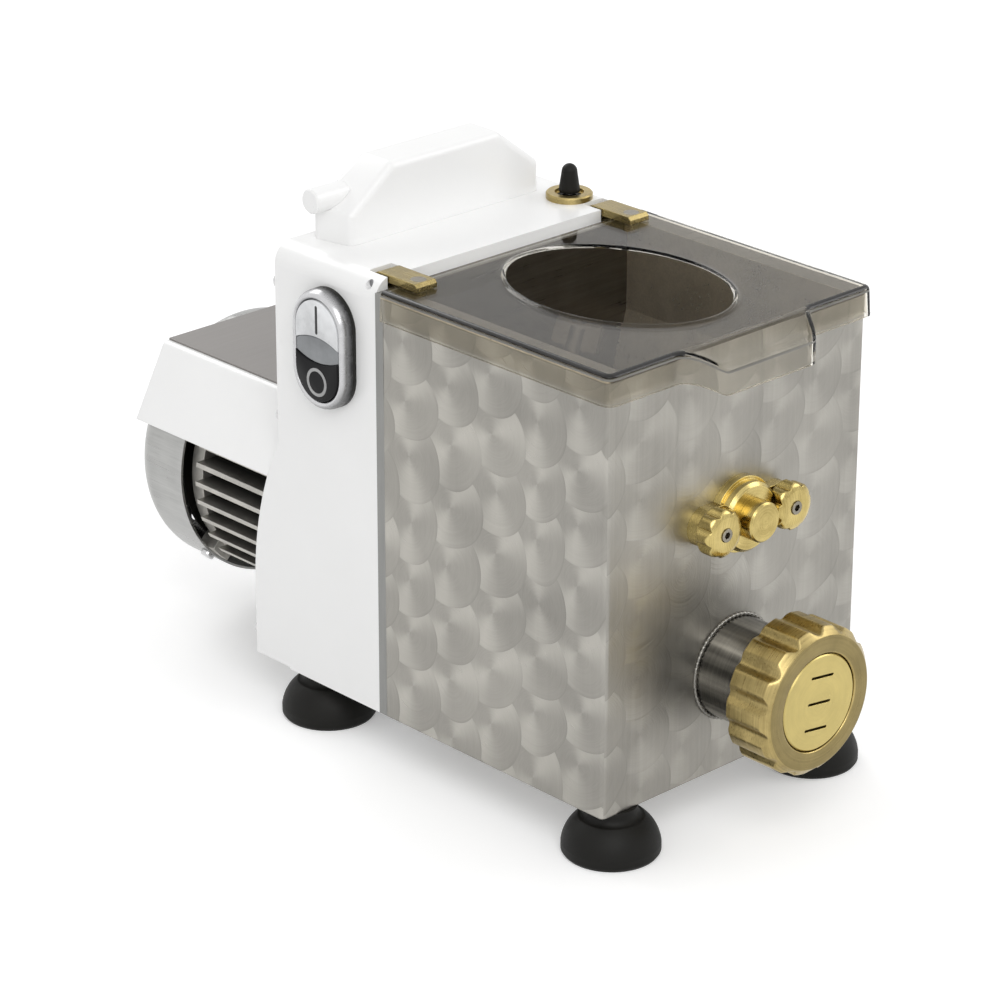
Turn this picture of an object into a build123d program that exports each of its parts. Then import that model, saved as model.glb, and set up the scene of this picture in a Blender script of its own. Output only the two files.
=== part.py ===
# Electric pasta extruder: mixing tank, extrusion screw, gear train, motor, lid and controls.
# Millimetres. +Z is up, the die faces -Y, and the origin is on the floor under the centre of the machine.
from build123d import *
from math import acos, atan2, cos, degrees, hypot, pi, radians, sin, sqrt, tan
import os

# ---------------------------------------------------------------- driving dimensions
# Overall
box_width = 160.0
box_depth = 140.0
foot_height = 23.5
rim_top = 228.2
sheet = 1.2
plate_thickness = 5.0
casting_depth = 63.0
cover_depth = 24.0
motor_length = 110.0
nose_length = 52.0

# Clearances
running = 0.05
fit_gap = 0.3
seat_gap = 0.02
face_gap = 1.5

# Tank and barrel
auger_height = 72.0
trough_drop = 1.3
tank_sheet = 2.0
sheet_bend = 2.5
rim_thickness = 1.5
mouth_half_width = 70.0
mouth_shoulder = 185.0
feed_slot_half = 10.0
barrel_bore = 19.0
barrel_wall = 4.5
weld_size = 2.6
seal_wall = 6.0

# Screw and mixer
auger_core = 8.0
auger_pitch = 30.0
flight_root = 7.0
flight_tip = 4.0
drive_radius = 8.5
mixer_radius = 10.0
paddle_room = 2.8
paddle_height = 12.0
paddle_length = 22.0
paddle_thickness = 4.0
paddle_twist = 25.0
arm_radius = 4.0
arm_count = 6
arm_turn = 150.0
dog_side = 11.0
dog_length = 20.0
dog_overlap = 9.0
pin_radius = 5.0
pin_reach_in = 22.0

# Ring nut and die
nut_radius = 34.5
nut_length = 24.0
nut_lip = 5.0
nut_chamfer = 3.5
thread_height = 3.5
thread_length = 13.0
flute_count = 14
flute_radius = 5.5
flute_depth = 2.6
die_boss_radius = 22.3
die_flange = 4.4
die_recess = 0.2
die_pocket = 4.0
slot_length = 14.4
slot_width = 1.3
slot_spacing = 12.2
slot_count = 3
die_turn = -8.0

# Front bush and knobs
bush_radius = 16.0
bush_flange_radius = 17.5
bush_flange = 4.0
bush_length = 9.5
spigot_radius = 11.0
ear_thickness = 5.6
ear_radius = 9.0
stud_spacing = 44.0
stud_radius = 3.0
stud_reach = 15.6
socket_flats = 3.0
socket_depth = 3.0
knob_core = 9.4
knob_lobe = 2.7
knob_lobe_inset = 0.9
knob_lobes = 8
knob_length = 9.2
knob_chamfer = 1.2
pin_head_radius = 9.2
pin_reach = 17.2

# Lid and its hinges
lid_sheet = 2.5
lid_flare = 1.8
lid_setback = 1.0
skirt_depth = 14.0
lid_corner = 4.0
hole_half_x = 43.0
hole_half_y = 56.0
hole_centre = 74.0
hole_rim = 2.4
hole_bead = 1.4
lip_root_half = 40.0
lip_tip_half = 24.0
lip_reach = 16.2
lip_drop = 6.0
lip_skirt = 12.0
bracket_x = 66.0
bracket_width = 12.0
bracket_thickness = 3.6
bracket_length = 24.5
hinge_inset = 6.0
hinge_height = 230.0
hinge_pin_radius = 2.0
hinge_pin_overhang = 4.0
knuckle_radius = 4.4
knuckle_gap = 0.5
bracket_screw_y = 13.0

# Gearbox casting and covers
casting_top = 234.0
casting_corner = 10.0
casting_wall = 6.0
front_wall = 8.0
floor_wall = 3.6
ceiling = 182.0
ceiling_wall = 3.0
roof_wall = 5.0
shoulder_width = 8.0
bearing_plate_y = 33.0
bearing_plate_thickness = 6.0
cover_wall = 5.0
cover_floor = 1.0
cover_bend_top = 137.0
cover_bend_low = 60.0
boss_radius = 11.0
boss_reach = 2.5
spigot_bore = 34.0
motor_pad = 52.0
hump_front = 40.0
hump_rear = 62.5
hump_half_front = 58.0
hump_half_rear = 63.0
hump_flat_half = 33.0
hump_top = 268.0
hump_shoulder = 248.0
hump_wall = 3.0
hump_round = 3.5
wire_slot = (60.0, 11.0)
plug_y = 55.3
plug_z = 254.0
plug_radius = 5.8
plug_inner = 50.0
plug_outer = 69.5

# Gear train
pressure_angle = 20.0
gear_width = 10.0
thin_gear = 8.0
final_module = 2.0
second_module = 1.5
first_module = 1.25
auger_teeth = 42
mixer_teeth = 32
pinion_teeth = 18
second_teeth = 54
first_teeth = 72
tooth_thinning = 0.08
countershaft_radius = 6.0
journal_radius = 5.0
bush_wall = 3.0
bush_depth = 5.5
first_shaft_x = 27.0

# Motor
motor_height = 85.0
motor_radius = 61.5
core_radius = 48.0
frame_bore = 46.0
stator_bore = 28.0
air_gap = 0.5
stack_length = 40.0
winding_length = 6.5
winding_inner = 31.0
winding_outer = 43.0
motor_shaft_radius = 7.0
fin_thickness = 2.2
fin_pitch = 9.7
shield_thickness = 8.0
shield_radius = 57.0
shield_spigot = 13.0
cowl_radius = 64.0
cowl_sheet = 1.2
cowl_length = 36.0
cowl_round = 12.0
lug_size = 8.0
lug_length = 11.0
cowl_screw_set = 4.0
fan_radius = 56.0
fan_hub = 12.0
fan_width = 18.0
fan_plate = 2.0
fan_blades = 9
fan_gap = 8.0
ball_bearing_radius = 16.0
ball_bearing_width = 7.0
grille_rows = ((16.0, 8), (27.0, 14), (38.0, 20), (48.0, 26))
grille_hole = 3.2

# Motor cover
hood_top = 153.0
hood_top_half = 62.0
hood_low = 118.0
hood_low_half = 80.5
hood_sheet = 1.5
hood_bend = 3.0
hood_length = 105.0
top_plate_thickness = 1.0

# Push buttons
button_y = 30.5
button_z = 194.5
button_width = 35.0
button_height = 56.5
base_thickness = 2.0
base_floor = 1.5
bezel_thickness = 6.3
bezel_round = 3.0
opening_width = 28.8
opening_height = 48.0
button_head = 3.5
button_proud = 0.2
stem_radius = 2.2
stem_reach = 2.5
stem_spacing = 14.8
collar_radius = 11.0
collar_wall = 1.0
lens_low = -4.3
lens_high = 4.9
contact_depth = 34.0
contact_width = 28.0
contact_height = 34.0

# Toggle switch
toggle_x = 61.5
toggle_y = 23.0
toggle_nut_radius = 11.0
toggle_nut_height = 3.0
toggle_web = 1.2
toggle_bush = 5.9
toggle_bore = 3.3
toggle_pivot = 232.0
toggle_body = (16.0, 13.0, 24.0)
lever_radius = 1.8
lever_ball = 2.8
boot_base = 4.9
boot_neck = 3.7
boot_height = 13.2

# Feet and fasteners
foot_radius = 22.3
foot_neck = 11.8
foot_x = 64.7
front_foot_y = 9.7
rear_foot_y = 53.0
foot_screw_radius = 3.0
foot_screw_head = 5.5
foot_screw_depth = 15.0
nut_thickness = 4.0
screw_radius = 2.0
screw_head = 3.6
screw_head_height = 2.4
screw_length = 10.0

# Parts inside the electrics space
capacitor_radius = 14.0
capacitor_length = 60.0
capacitor_place = (35.0, 204.0)
terminal_size = (64.0, 12.0, 18.0)
gland_place = (64.0, 40.0)
gland_radius = 7.0
gland_hex = 9.0
gland_hole = 4.0

# ---------------------------------------------------------------- places worked out from the sizes
overall_length = nose_length + box_depth + plate_thickness + casting_depth + cover_depth + motor_length
front = nose_length - overall_length / 2
plate_face = front + box_depth
casting_face = plate_face + plate_thickness
cover_face = casting_face + casting_depth
cover_back = cover_face + cover_depth
tail = cover_back + motor_length
half_width = box_width / 2
box_top = rim_top - rim_thickness
wall_inside = front + sheet + tank_sheet
tank_back = plate_face - tank_sheet
barrel_radius = barrel_bore + barrel_wall
thread_radius = barrel_radius + thread_height

nut_front = front - nose_length
nut_back = nut_front + nut_length
lip_face = nut_front + nut_lip
neck_end = lip_face + fit_gap + die_flange + fit_gap

lid_bottom = rim_top + fit_gap
lid_top = lid_bottom + lid_sheet
lid_half = half_width + fit_gap + lid_sheet
lid_front = front - fit_gap - lid_sheet
lid_rear = plate_face - lid_setback
hinge_y = casting_face + hinge_inset

chamber_floor = foot_height + floor_wall
chamber_half = half_width - casting_wall
plate_y = casting_face + bearing_plate_y
plate_back = plate_y + bearing_plate_thickness
train_face = casting_face + front_wall
boss_face = cover_face - boss_reach

first_mesh = (pinion_teeth + first_teeth) * first_module / 2
second_mesh = (pinion_teeth + second_teeth) * second_module / 2
third_mesh = (pinion_teeth + auger_teeth) * final_module / 2
mixer_height = auger_height + (auger_teeth + mixer_teeth) * final_module / 2
trough_radius = mixer_height - auger_height - barrel_bore + trough_drop
paddle_reach = trough_radius - paddle_room


def meeting_point(start, reach_start, end, reach_end):
    """Point at the two distances from start and end, on the left of the way from start to end."""
    dx, dz = end[0] - start[0], end[1] - start[1]
    span = hypot(dx, dz)
    along = (reach_start**2 - reach_end**2 + span**2) / (2 * span)
    across = sqrt(reach_start**2 - along**2)
    return (start[0] + (along * dx - across * dz) / span, start[1] + (along * dz + across * dx) / span)


auger_axis = (0.0, auger_height)
mixer_axis = (0.0, mixer_height)
motor_axis = (0.0, motor_height)
first_axis = (first_shaft_x, motor_height + sqrt(first_mesh**2 - first_shaft_x**2))
second_axis = meeting_point(auger_axis, third_mesh, first_axis, second_mesh)

auger_wheel_face = train_face + 2.0
third_mesh_back = plate_y - face_gap
third_mesh_face = third_mesh_back - gear_width
second_mesh_face = plate_back + 2.0
second_mesh_back = second_mesh_face + thin_gear
first_mesh_face = second_mesh_back + 2.0
first_mesh_back = first_mesh_face + thin_gear

frame_front = cover_back + shield_thickness
cowl_front = tail - cowl_length
frame_back = cowl_front - shield_thickness
stack_middle = (frame_front + frame_back) / 2


def station(y):
    """Plane across the machine at y: local x is +X, local y is +Z, and it faces -Y."""
    return Plane.XZ.offset(-y)


def side(x):
    """Plane along the machine at x: local x is +Y, local y is +Z, and it faces +X."""
    return Plane.YZ.offset(x)


def level(z):
    """Horizontal plane at height z."""
    return Plane.XY.offset(z)


def rearward(x, y, z):
    """Plane at a point, facing +Y."""
    return Plane(origin=(x, y, z), x_dir=(-1, 0, 0), z_dir=(0, 1, 0))


# ---------------------------------------------------------------- shared shapes
def ring(centre, inner, outer, start, end):
    """Bush, bearing or ring about an axis along Y, from station start to the nearer one, end."""
    with BuildPart() as sleeve:
        with BuildSketch(station(start)):
            with Locations(centre):
                Circle(outer)
                Circle(inner, mode=Mode.SUBTRACT)
        extrude(amount=start - end)
    return sleeve.part


def pan_screw(place, length):
    """Pan-head screw whose head sits on the plane, with its shank behind it."""
    with BuildPart() as screw:
        with BuildSketch(place):
            Circle(screw_head)
        extrude(amount=screw_head_height)
        head_rims = screw.edges().filter_by(GeomType.CIRCLE)
        fillet(head_rims.sort_by_distance(place.origin + place.z_dir * 2 * length)[0], 1.2)
        with BuildSketch(place):
            Circle(screw_radius)
        extrude(amount=-length)
    return screw.part


def hex_nut(x, y, low, radius):
    """Hexagon nut with its bore along Z."""
    with BuildPart() as nut:
        with BuildSketch(level(low)):
            with Locations((x, y)):
                RegularPolygon(radius * 1.9, 6)
                Circle(radius + seat_gap, mode=Mode.SUBTRACT)
        extrude(amount=nut_thickness)
    return nut.part


def mesh_turn(turn, teeth, start, other_teeth, end):
    """Turn of a gear at end whose gaps meet the teeth of the gear at start."""
    line = degrees(atan2(end[1] - start[1], end[0] - start[0]))
    return line + 180 - (teeth * (turn - line) + 180) / other_teeth


def gear_face(plane, centre, teeth, module, turn):
    """Spur gear outline with arcs fitted to the involute flanks; turn is the angle of one tooth."""
    pitch_radius = teeth * module / 2
    base = pitch_radius * cos(radians(pressure_angle))
    tip = pitch_radius + module
    root = pitch_radius - 1.25 * module
    start = max(base, root)
    middle = (start + tip) / 2
    half_tooth = (pi * module / 2 - tooth_thinning) / 2 / pitch_radius

    def involute(radius):
        angle = acos(min(1.0, base / radius))
        return tan(angle) - angle

    def point(radius, tooth, sign):
        half = half_tooth + involute(pitch_radius) - involute(max(radius, start))
        angle = radians(turn) + 2 * pi * tooth / teeth + sign * half
        return (centre[0] + radius * cos(angle), centre[1] + radius * sin(angle))

    with BuildSketch(plane) as face:
        with BuildLine():
            for tooth in range(teeth):
                if start > root:
                    Line(point(root, tooth, -1), point(start, tooth, -1))
                    Line(point(start, tooth, 1), point(root, tooth, 1))
                ThreePointArc(point(start, tooth, -1), point(middle, tooth, -1), point(tip, tooth, -1))
                Line(point(tip, tooth, -1), point(tip, tooth, 1))
                ThreePointArc(point(tip, tooth, 1), point(middle, tooth, 1), point(start, tooth, 1))
                Line(point(root, tooth, 1), point(root, tooth + 1, -1))
        make_face()
    return face.sketch


# The tank wall runs straight down, slopes in, and closes in a half-round trough about the mixer.
shoulder_reach = hypot(mouth_half_width, mouth_shoulder - mixer_height)
shoulder_angle = degrees(acos(mouth_half_width / shoulder_reach))
tangent_angle = shoulder_angle - degrees(acos(trough_radius / shoulder_reach))
tangent_x = trough_radius * cos(radians(tangent_angle))
tangent_z = mixer_height + trough_radius * sin(radians(tangent_angle))


def trough_section(plane, top, grow=0.0):
    """Outline of the tank's inside at a station, grown by a wall thickness."""
    with BuildSketch(plane) as section:
        with BuildLine():
            Polyline((tangent_x, tangent_z), (mouth_half_width, mouth_shoulder), (mouth_half_width, top),
                     (-mouth_half_width, top), (-mouth_half_width, mouth_shoulder), (-tangent_x, tangent_z))
            ThreePointArc((-tangent_x, tangent_z), (0, mixer_height - trough_radius), (tangent_x, tangent_z))
        make_face()
        if grow:
            offset(amount=grow, kind=Kind.INTERSECTION)
    return section.sketch


# ---------------------------------------------------------------- sheet-metal body and tank
foot_places = [(x, y) for x in (-foot_x, foot_x) for y in (front + front_foot_y, casting_face + rear_foot_y)]
front_feet = [place for place in foot_places if place[1] < plate_face]
rear_feet = [place for place in foot_places if place[1] > plate_face]
stud_places = [(-stud_spacing / 2, mixer_height), (stud_spacing / 2, mixer_height)]

with BuildPart() as steel_casing:
    with BuildSketch(station(plate_face)):
        with Locations((0, (foot_height + box_top) / 2)):
            Rectangle(box_width, box_top - foot_height)
    extrude(amount=box_depth)
    fillet(steel_casing.edges().filter_by(Axis.Z).group_by(Axis.Y)[0], sheet_bend)
    with BuildSketch(station(plate_face)):
        with Locations((0, (foot_height + sheet + box_top) / 2)):
            Rectangle(box_width - 2 * sheet, box_top - foot_height - sheet)
    extrude(amount=box_depth - sheet, mode=Mode.SUBTRACT)
    with BuildSketch(station(front + sheet)):
        with Locations(auger_axis):
            Circle(barrel_radius + seat_gap)
        with Locations(mixer_axis):
            Circle(spigot_radius + seat_gap)
        with Locations(*stud_places):
            Circle(stud_radius + seat_gap)
    extrude(amount=sheet, mode=Mode.SUBTRACT)
    with BuildSketch(level(foot_height)):
        with Locations(*front_feet):
            Circle(foot_screw_radius + seat_gap)
    extrude(amount=sheet, mode=Mode.SUBTRACT)

with BuildPart() as rear_plate:
    with BuildSketch(station(casting_face)):
        with Locations((0, (foot_height + rim_top) / 2)):
            Rectangle(box_width, rim_top - foot_height)
        with Locations(auger_axis, mixer_axis):
            Circle(drive_radius + seal_wall, mode=Mode.SUBTRACT)
    extrude(amount=plate_thickness)

with BuildPart() as mixing_tank:
    extrude(trough_section(station(plate_face), box_top - tank_sheet, tank_sheet), amount=box_depth - sheet)
    with BuildSketch(level(box_top)) as rim:
        with Locations((0, (front + plate_face) / 2)):
            Rectangle(box_width, box_depth)
        fillet(rim.vertices().group_by(Axis.Y)[0], sheet_bend)
    extrude(amount=rim_thickness)
    extrude(trough_section(station(tank_back), rim_top + 1), amount=tank_back - wall_inside,
            mode=Mode.SUBTRACT)
    with BuildSketch(station(plate_face)):
        with Locations(auger_axis):
            Circle(barrel_radius + seat_gap)
        with Locations(mixer_axis):
            Circle(drive_radius + seal_wall)
    extrude(amount=tank_sheet, mode=Mode.SUBTRACT)
    with BuildSketch(station(wall_inside)):
        with Locations(auger_axis):
            Circle(barrel_radius + seat_gap)
        with Locations(mixer_axis):
            Circle(spigot_radius + seat_gap)
        with Locations(*stud_places):
            Circle(stud_radius + seat_gap)
    extrude(amount=tank_sheet, mode=Mode.SUBTRACT)
    with BuildSketch(level(auger_height)):
        with Locations((0, (wall_inside + tank_back) / 2)):
            Rectangle(2 * feed_slot_half, tank_back - wall_inside)
    extrude(amount=mixer_height - auger_height - trough_radius + 3 * tank_sheet, mode=Mode.SUBTRACT)

with BuildPart() as extrusion_barrel:
    with BuildSketch(station(plate_face)):
        with Locations(auger_axis):
            Circle(barrel_radius)
    extrude(amount=plate_face - neck_end)
    with BuildSketch(station(neck_end + thread_length)):
        with Locations(auger_axis):
            Circle(thread_radius)
    extrude(amount=thread_length)
    chamfer(extrusion_barrel.edges().filter_by(GeomType.CIRCLE).group_by(Axis.Y)[0], 0.8)
    extrude(trough_section(station(tank_back), box_top, tank_sheet + seat_gap),
            amount=tank_back - wall_inside, mode=Mode.SUBTRACT)
    with BuildSketch(station(plate_face)):
        with Locations(auger_axis):
            Circle(barrel_bore)
    extrude(amount=plate_face - neck_end, mode=Mode.SUBTRACT)

with BuildPart() as neck_weld:
    with BuildSketch(side(0)):
        with BuildLine():
            weld_foot = auger_height + barrel_radius + seat_gap
            Line((front, weld_foot), (front, weld_foot + weld_size))
            ThreePointArc((front, weld_foot + weld_size),
                          (front - 0.85 * weld_size, weld_foot + 0.85 * weld_size),
                          (front - weld_size, weld_foot))
            Line((front - weld_size, weld_foot), (front, weld_foot))
        make_face()
    revolve(axis=Axis((0, front, auger_height), (0, 1, 0)))

# ---------------------------------------------------------------- screw and mixer
auger_tip = neck_end + 2.0
auger_root = tank_back - 2.0
auger_radius = barrel_bore - fit_gap

with BuildPart() as auger:
    with BuildSketch(station(plate_back - fit_gap)):
        with Locations(auger_axis):
            Circle(drive_radius)
    extrude(amount=plate_back - fit_gap - auger_root)
    with BuildSketch(station(auger_root)):
        with Locations(auger_axis):
            Circle(auger_core)
    extrude(amount=auger_root - auger_tip)
    flight_start = auger_root - flight_root / 2 - 0.5
    flight_end = auger_tip + flight_root / 2 + 0.5
    flight_centre = Vector(0, flight_start, auger_height)
    with BuildLine() as flight:
        Helix(auger_pitch, flight_start - flight_end, auger_core - 0.4, center=flight_centre,
              direction=(0, -1, 0), lefthand=True)
    flight_plane = Plane(origin=flight.line @ 0, x_dir=flight.line @ 0 - flight_centre, z_dir=flight.line % 0)
    with BuildSketch(flight_plane):
        with BuildLine():
            flight_height = auger_radius - auger_core + 0.4
            Polyline((0, -flight_root / 2), (flight_height, -flight_tip / 2), (flight_height, flight_tip / 2),
                     (0, flight_root / 2), close=True)
        make_face()
    sweep(path=flight.line, is_frenet=True)

mixer_front = wall_inside + 3.0
mixer_back = tank_back - dog_length + dog_overlap
arm_step = (mixer_back - mixer_front - paddle_length) / (arm_count - 1)

with BuildPart() as mixer:
    with BuildSketch(station(mixer_back)):
        with Locations(mixer_axis):
            Circle(mixer_radius)
    extrude(amount=mixer_back - mixer_front)
    for arm in range(arm_count):
        direction = radians(arm * arm_turn + 40)
        root_plane = Plane(origin=(0, mixer_front + paddle_length / 2 + arm * arm_step, mixer_height),
                           x_dir=(0, 1, 0), z_dir=(cos(direction), 0, sin(direction)))
        with BuildSketch(root_plane):
            Circle(arm_radius)
        extrude(amount=paddle_reach - 2)
        with BuildSketch(root_plane.offset(paddle_reach - paddle_height)):
            Rectangle(paddle_length, paddle_thickness, rotation=paddle_twist)
        extrude(amount=paddle_height)
    with BuildSketch(station(wall_inside + pin_reach_in)):
        with Locations(mixer_axis):
            Circle(pin_radius + running)
    extrude(amount=pin_reach_in, mode=Mode.SUBTRACT)
    with BuildSketch(station(mixer_back)):
        with Locations(mixer_axis):
            Rectangle(dog_side + 2 * seat_gap, dog_side + 2 * seat_gap)
    extrude(amount=dog_overlap + seat_gap, mode=Mode.SUBTRACT)

with BuildPart() as mixer_drive_shaft:
    with BuildSketch(station(plate_back - fit_gap)):
        with Locations(mixer_axis):
            Circle(drive_radius)
    extrude(amount=plate_back - fit_gap - tank_back)
    with BuildSketch(station(tank_back)):
        with Locations(mixer_axis):
            Rectangle(dog_side, dog_side)
    extrude(amount=dog_length)

# ---------------------------------------------------------------- front bush, pivot pin and knobs
knob_start = front - ear_thickness - fit_gap
knob_outer = knob_core - knob_lobe_inset + knob_lobe

with BuildPart() as front_bush:
    with BuildSketch(station(front)):
        with Locations(mixer_axis):
            Circle(bush_flange_radius)
    extrude(amount=bush_flange)
    with BuildSketch(station(front)):
        with Locations(mixer_axis):
            SlotCenterToCenter(stud_spacing, 2 * ear_radius)
    extrude(amount=ear_thickness)
    with BuildSketch(station(front)):
        with Locations(mixer_axis):
            Circle(bush_radius)
    extrude(amount=bush_length)
    chamfer(front_bush.edges().filter_by(GeomType.CIRCLE).group_by(Axis.Y)[0], 1.5)
    with BuildSketch(station(front - ear_thickness)):
        with Locations(*stud_places):
            Circle(knob_outer + 2 * fit_gap)
    extrude(amount=bush_length, mode=Mode.SUBTRACT)
    with BuildSketch(station(wall_inside)):
        with Locations(mixer_axis):
            Circle(spigot_radius)
    extrude(amount=wall_inside - front)
    with BuildSketch(station(wall_inside)):
        with Locations(mixer_axis):
            Circle(pin_radius + seat_gap)
        with Locations(*stud_places):
            Circle(stud_radius + seat_gap)
    extrude(amount=wall_inside - front + bush_length, mode=Mode.SUBTRACT)

with BuildPart() as pivot_pin:
    with BuildSketch(station(wall_inside + pin_reach_in - fit_gap)):
        with Locations(mixer_axis):
            Circle(pin_radius)
    extrude(amount=wall_inside + pin_reach_in - fit_gap - front + bush_length)
    with BuildSketch(station(front - bush_length)):
        with Locations(mixer_axis):
            Circle(pin_head_radius)
    extrude(amount=pin_reach - bush_length)
    chamfer(pivot_pin.edges().filter_by(GeomType.CIRCLE).group_by(Axis.Y)[0], 0.8)

with BuildPart() as bush_studs:
    with BuildSketch(station(wall_inside)):
        with Locations(*stud_places):
            Circle(stud_radius)
    extrude(amount=wall_inside - front + stud_reach)
    with BuildSketch(station(front - stud_reach + socket_depth)):
        with Locations(*stud_places):
            RegularPolygon(socket_flats / 2, 6, major_radius=False)
    extrude(amount=socket_depth, mode=Mode.SUBTRACT)


def lobed_knob(x):
    """Knob with rounded lobes, chamfered at both ends, on the stud at x."""
    with BuildPart() as knob:
        with BuildSketch(station(knob_start)):
            with Locations((x, mixer_height)):
                Circle(knob_core)
                with PolarLocations(knob_core - knob_lobe_inset, knob_lobes):
                    Circle(knob_lobe)
                Circle(stud_radius + running, mode=Mode.SUBTRACT)
        extrude(amount=knob_length)
        with BuildSketch(side(x)):
            with BuildLine():
                Polyline((knob_start, mixer_height), (knob_start, mixer_height + knob_outer - knob_chamfer),
                         (knob_start - knob_chamfer, mixer_height + knob_outer),
                         (knob_start - knob_length + knob_chamfer, mixer_height + knob_outer),
                         (knob_start - knob_length, mixer_height + knob_outer - knob_chamfer),
                         (knob_start - knob_length, mixer_height), close=True)
            make_face()
        revolve(axis=Axis((x, front, mixer_height), (0, 1, 0)), mode=Mode.INTERSECT)
    return knob.part


with BuildPart() as knob_left:
    add(lobed_knob(-stud_spacing / 2))

with BuildPart() as knob_right:
    add(lobed_knob(stud_spacing / 2))

# ---------------------------------------------------------------- ring nut and die
with BuildPart() as ring_nut:
    with BuildSketch(station(nut_back)):
        with Locations(auger_axis):
            Circle(nut_radius)
            with PolarLocations(nut_radius + flute_radius - flute_depth, flute_count):
                Circle(flute_radius, mode=Mode.SUBTRACT)
    extrude(amount=nut_length)
    with BuildSketch(side(0)):
        with BuildLine():
            Polyline((nut_back, auger_height), (nut_back, auger_height + nut_radius - 1),
                     (nut_back - 1, auger_height + nut_radius),
                     (nut_front + nut_chamfer, auger_height + nut_radius),
                     (nut_front, auger_height + nut_radius - nut_chamfer), (nut_front, auger_height),
                     close=True)
        make_face()
    revolve(axis=Axis((0, front, auger_height), (0, 1, 0)), mode=Mode.INTERSECT)
    with BuildSketch(station(nut_back)):
        with Locations(auger_axis):
            Circle(thread_radius + running)
    extrude(amount=nut_length - nut_lip, mode=Mode.SUBTRACT)
    with BuildSketch(station(lip_face)):
        with Locations(auger_axis):
            Circle(die_boss_radius + fit_gap)
    extrude(amount=nut_lip, mode=Mode.SUBTRACT)

with BuildPart() as die:
    die_back = neck_end - fit_gap
    with BuildSketch(station(die_back)):
        with Locations(auger_axis):
            Circle(thread_radius - fit_gap)
    extrude(amount=die_flange)
    with BuildSketch(station(die_back - die_flange)):
        with Locations(auger_axis):
            Circle(die_boss_radius)
    extrude(amount=nut_lip + fit_gap - die_recess)
    chamfer(die.edges().filter_by(GeomType.CIRCLE).group_by(Axis.Y)[0], 0.6)
    with BuildSketch(station(die_back)):
        with Locations(auger_axis):
            Circle(barrel_bore - 1)
    extrude(amount=die_pocket, mode=Mode.SUBTRACT)
    with BuildSketch(station(die_back)):
        with Locations(Location(auger_axis, die_turn)):
            with GridLocations(0, slot_spacing, 1, slot_count):
                SlotOverall(slot_length, slot_width)
    extrude(amount=die_flange + nut_lip + fit_gap, mode=Mode.SUBTRACT)


# ---------------------------------------------------------------- lid
def lid_outline(z, half, front_edge, corner):
    """Lid outline at a height, with its two front corners rounded."""
    with BuildSketch(level(z)) as outline:
        with Locations((0, (front_edge + lid_rear) / 2)):
            Rectangle(2 * half, lid_rear - front_edge)
        fillet(outline.vertices().group_by(Axis.Y)[0], corner)
    return outline.sketch


def lip_outline(y, half, low, high):
    """Section of the pull lip at a station."""
    with BuildSketch(station(y)) as outline:
        with Locations((0, (low + high) / 2)):
            Rectangle(2 * half, high - low)
    return outline.sketch


skirt_bottom = lid_top - skirt_depth
lip_tip = lid_front - lip_reach
lip_low = lid_top - lip_drop - lip_skirt
hole_y = front + hole_centre
bracket_top = lid_top + bracket_thickness
screw_y = casting_face - bracket_screw_y
bracket_screw_places = [(-bracket_x, screw_y), (bracket_x, screw_y)]

with BuildPart() as lid:
    loft([lid_outline(skirt_bottom, lid_half + lid_flare, lid_front - lid_flare, lid_corner + lid_flare),
          lid_outline(lid_top, lid_half, lid_front, lid_corner)])
    loft([lip_outline(front, lip_root_half, skirt_bottom, lid_top),
          lip_outline(lip_tip, lip_tip_half, lip_low, lid_top - lip_drop)])
    fillet(lid.edges().filter_by(Axis.Z).group_by(Axis.Y)[0], 3)
    with BuildSketch(level(lid_top)):
        with Locations((0, hole_y)):
            Ellipse(hole_half_x + hole_rim, hole_half_y + hole_rim)
    extrude(amount=hole_bead)
    loft([lid_outline(skirt_bottom, lid_half + lid_flare - lid_sheet, lid_front - lid_flare + lid_sheet,
                      lid_corner),
          lid_outline(lid_bottom, lid_half - lid_sheet, lid_front + lid_sheet, lid_corner - lid_flare)],
         mode=Mode.SUBTRACT)
    loft([lip_outline(front, lip_root_half - lid_sheet, lip_low - 8, lid_bottom),
          lip_outline(lip_tip + lid_sheet, lip_tip_half - 0.8 * lid_sheet, lip_low - 8,
                      lid_bottom - lip_drop)], mode=Mode.SUBTRACT)
    with BuildSketch(level(lid_bottom - 1)):
        with Locations((0, hole_y)):
            Ellipse(hole_half_x, hole_half_y)
    extrude(amount=lid_sheet + hole_bead + 2, mode=Mode.SUBTRACT)
    with BuildSketch(level(lid_bottom)):
        with Locations(*bracket_screw_places):
            Circle(screw_radius + seat_gap)
    extrude(amount=lid_sheet, mode=Mode.SUBTRACT)


def hinge_bracket(x):
    """Strap on the lid that ends in a knuckle round the hinge pin."""
    with BuildPart() as bracket:
        with BuildSketch(side(x)):
            with BuildLine():
                Polyline((hinge_y, lid_top), (hinge_y - bracket_length, lid_top),
                         (hinge_y - bracket_length, bracket_top - 1.5),
                         (hinge_y - bracket_length + 1.5, bracket_top), (hinge_y, bracket_top), close=True)
            make_face()
            with Locations((hinge_y, hinge_height)):
                Circle(knuckle_radius)
                Circle(hinge_pin_radius + running, mode=Mode.SUBTRACT)
        extrude(amount=bracket_width / 2, both=True)
        with BuildSketch(level(bracket_top)):
            with Locations((x, screw_y)):
                Circle(screw_head + seat_gap)
        extrude(amount=screw_radius - screw_head, taper=45, mode=Mode.SUBTRACT)
        with BuildSketch(level(bracket_top)):
            with Locations((x, screw_y)):
                Circle(screw_radius + seat_gap)
        extrude(amount=-bracket_thickness, mode=Mode.SUBTRACT)
    return bracket.part


with BuildPart() as hinge_bracket_left:
    add(hinge_bracket(-bracket_x))

with BuildPart() as hinge_bracket_right:
    add(hinge_bracket(bracket_x))

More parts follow.
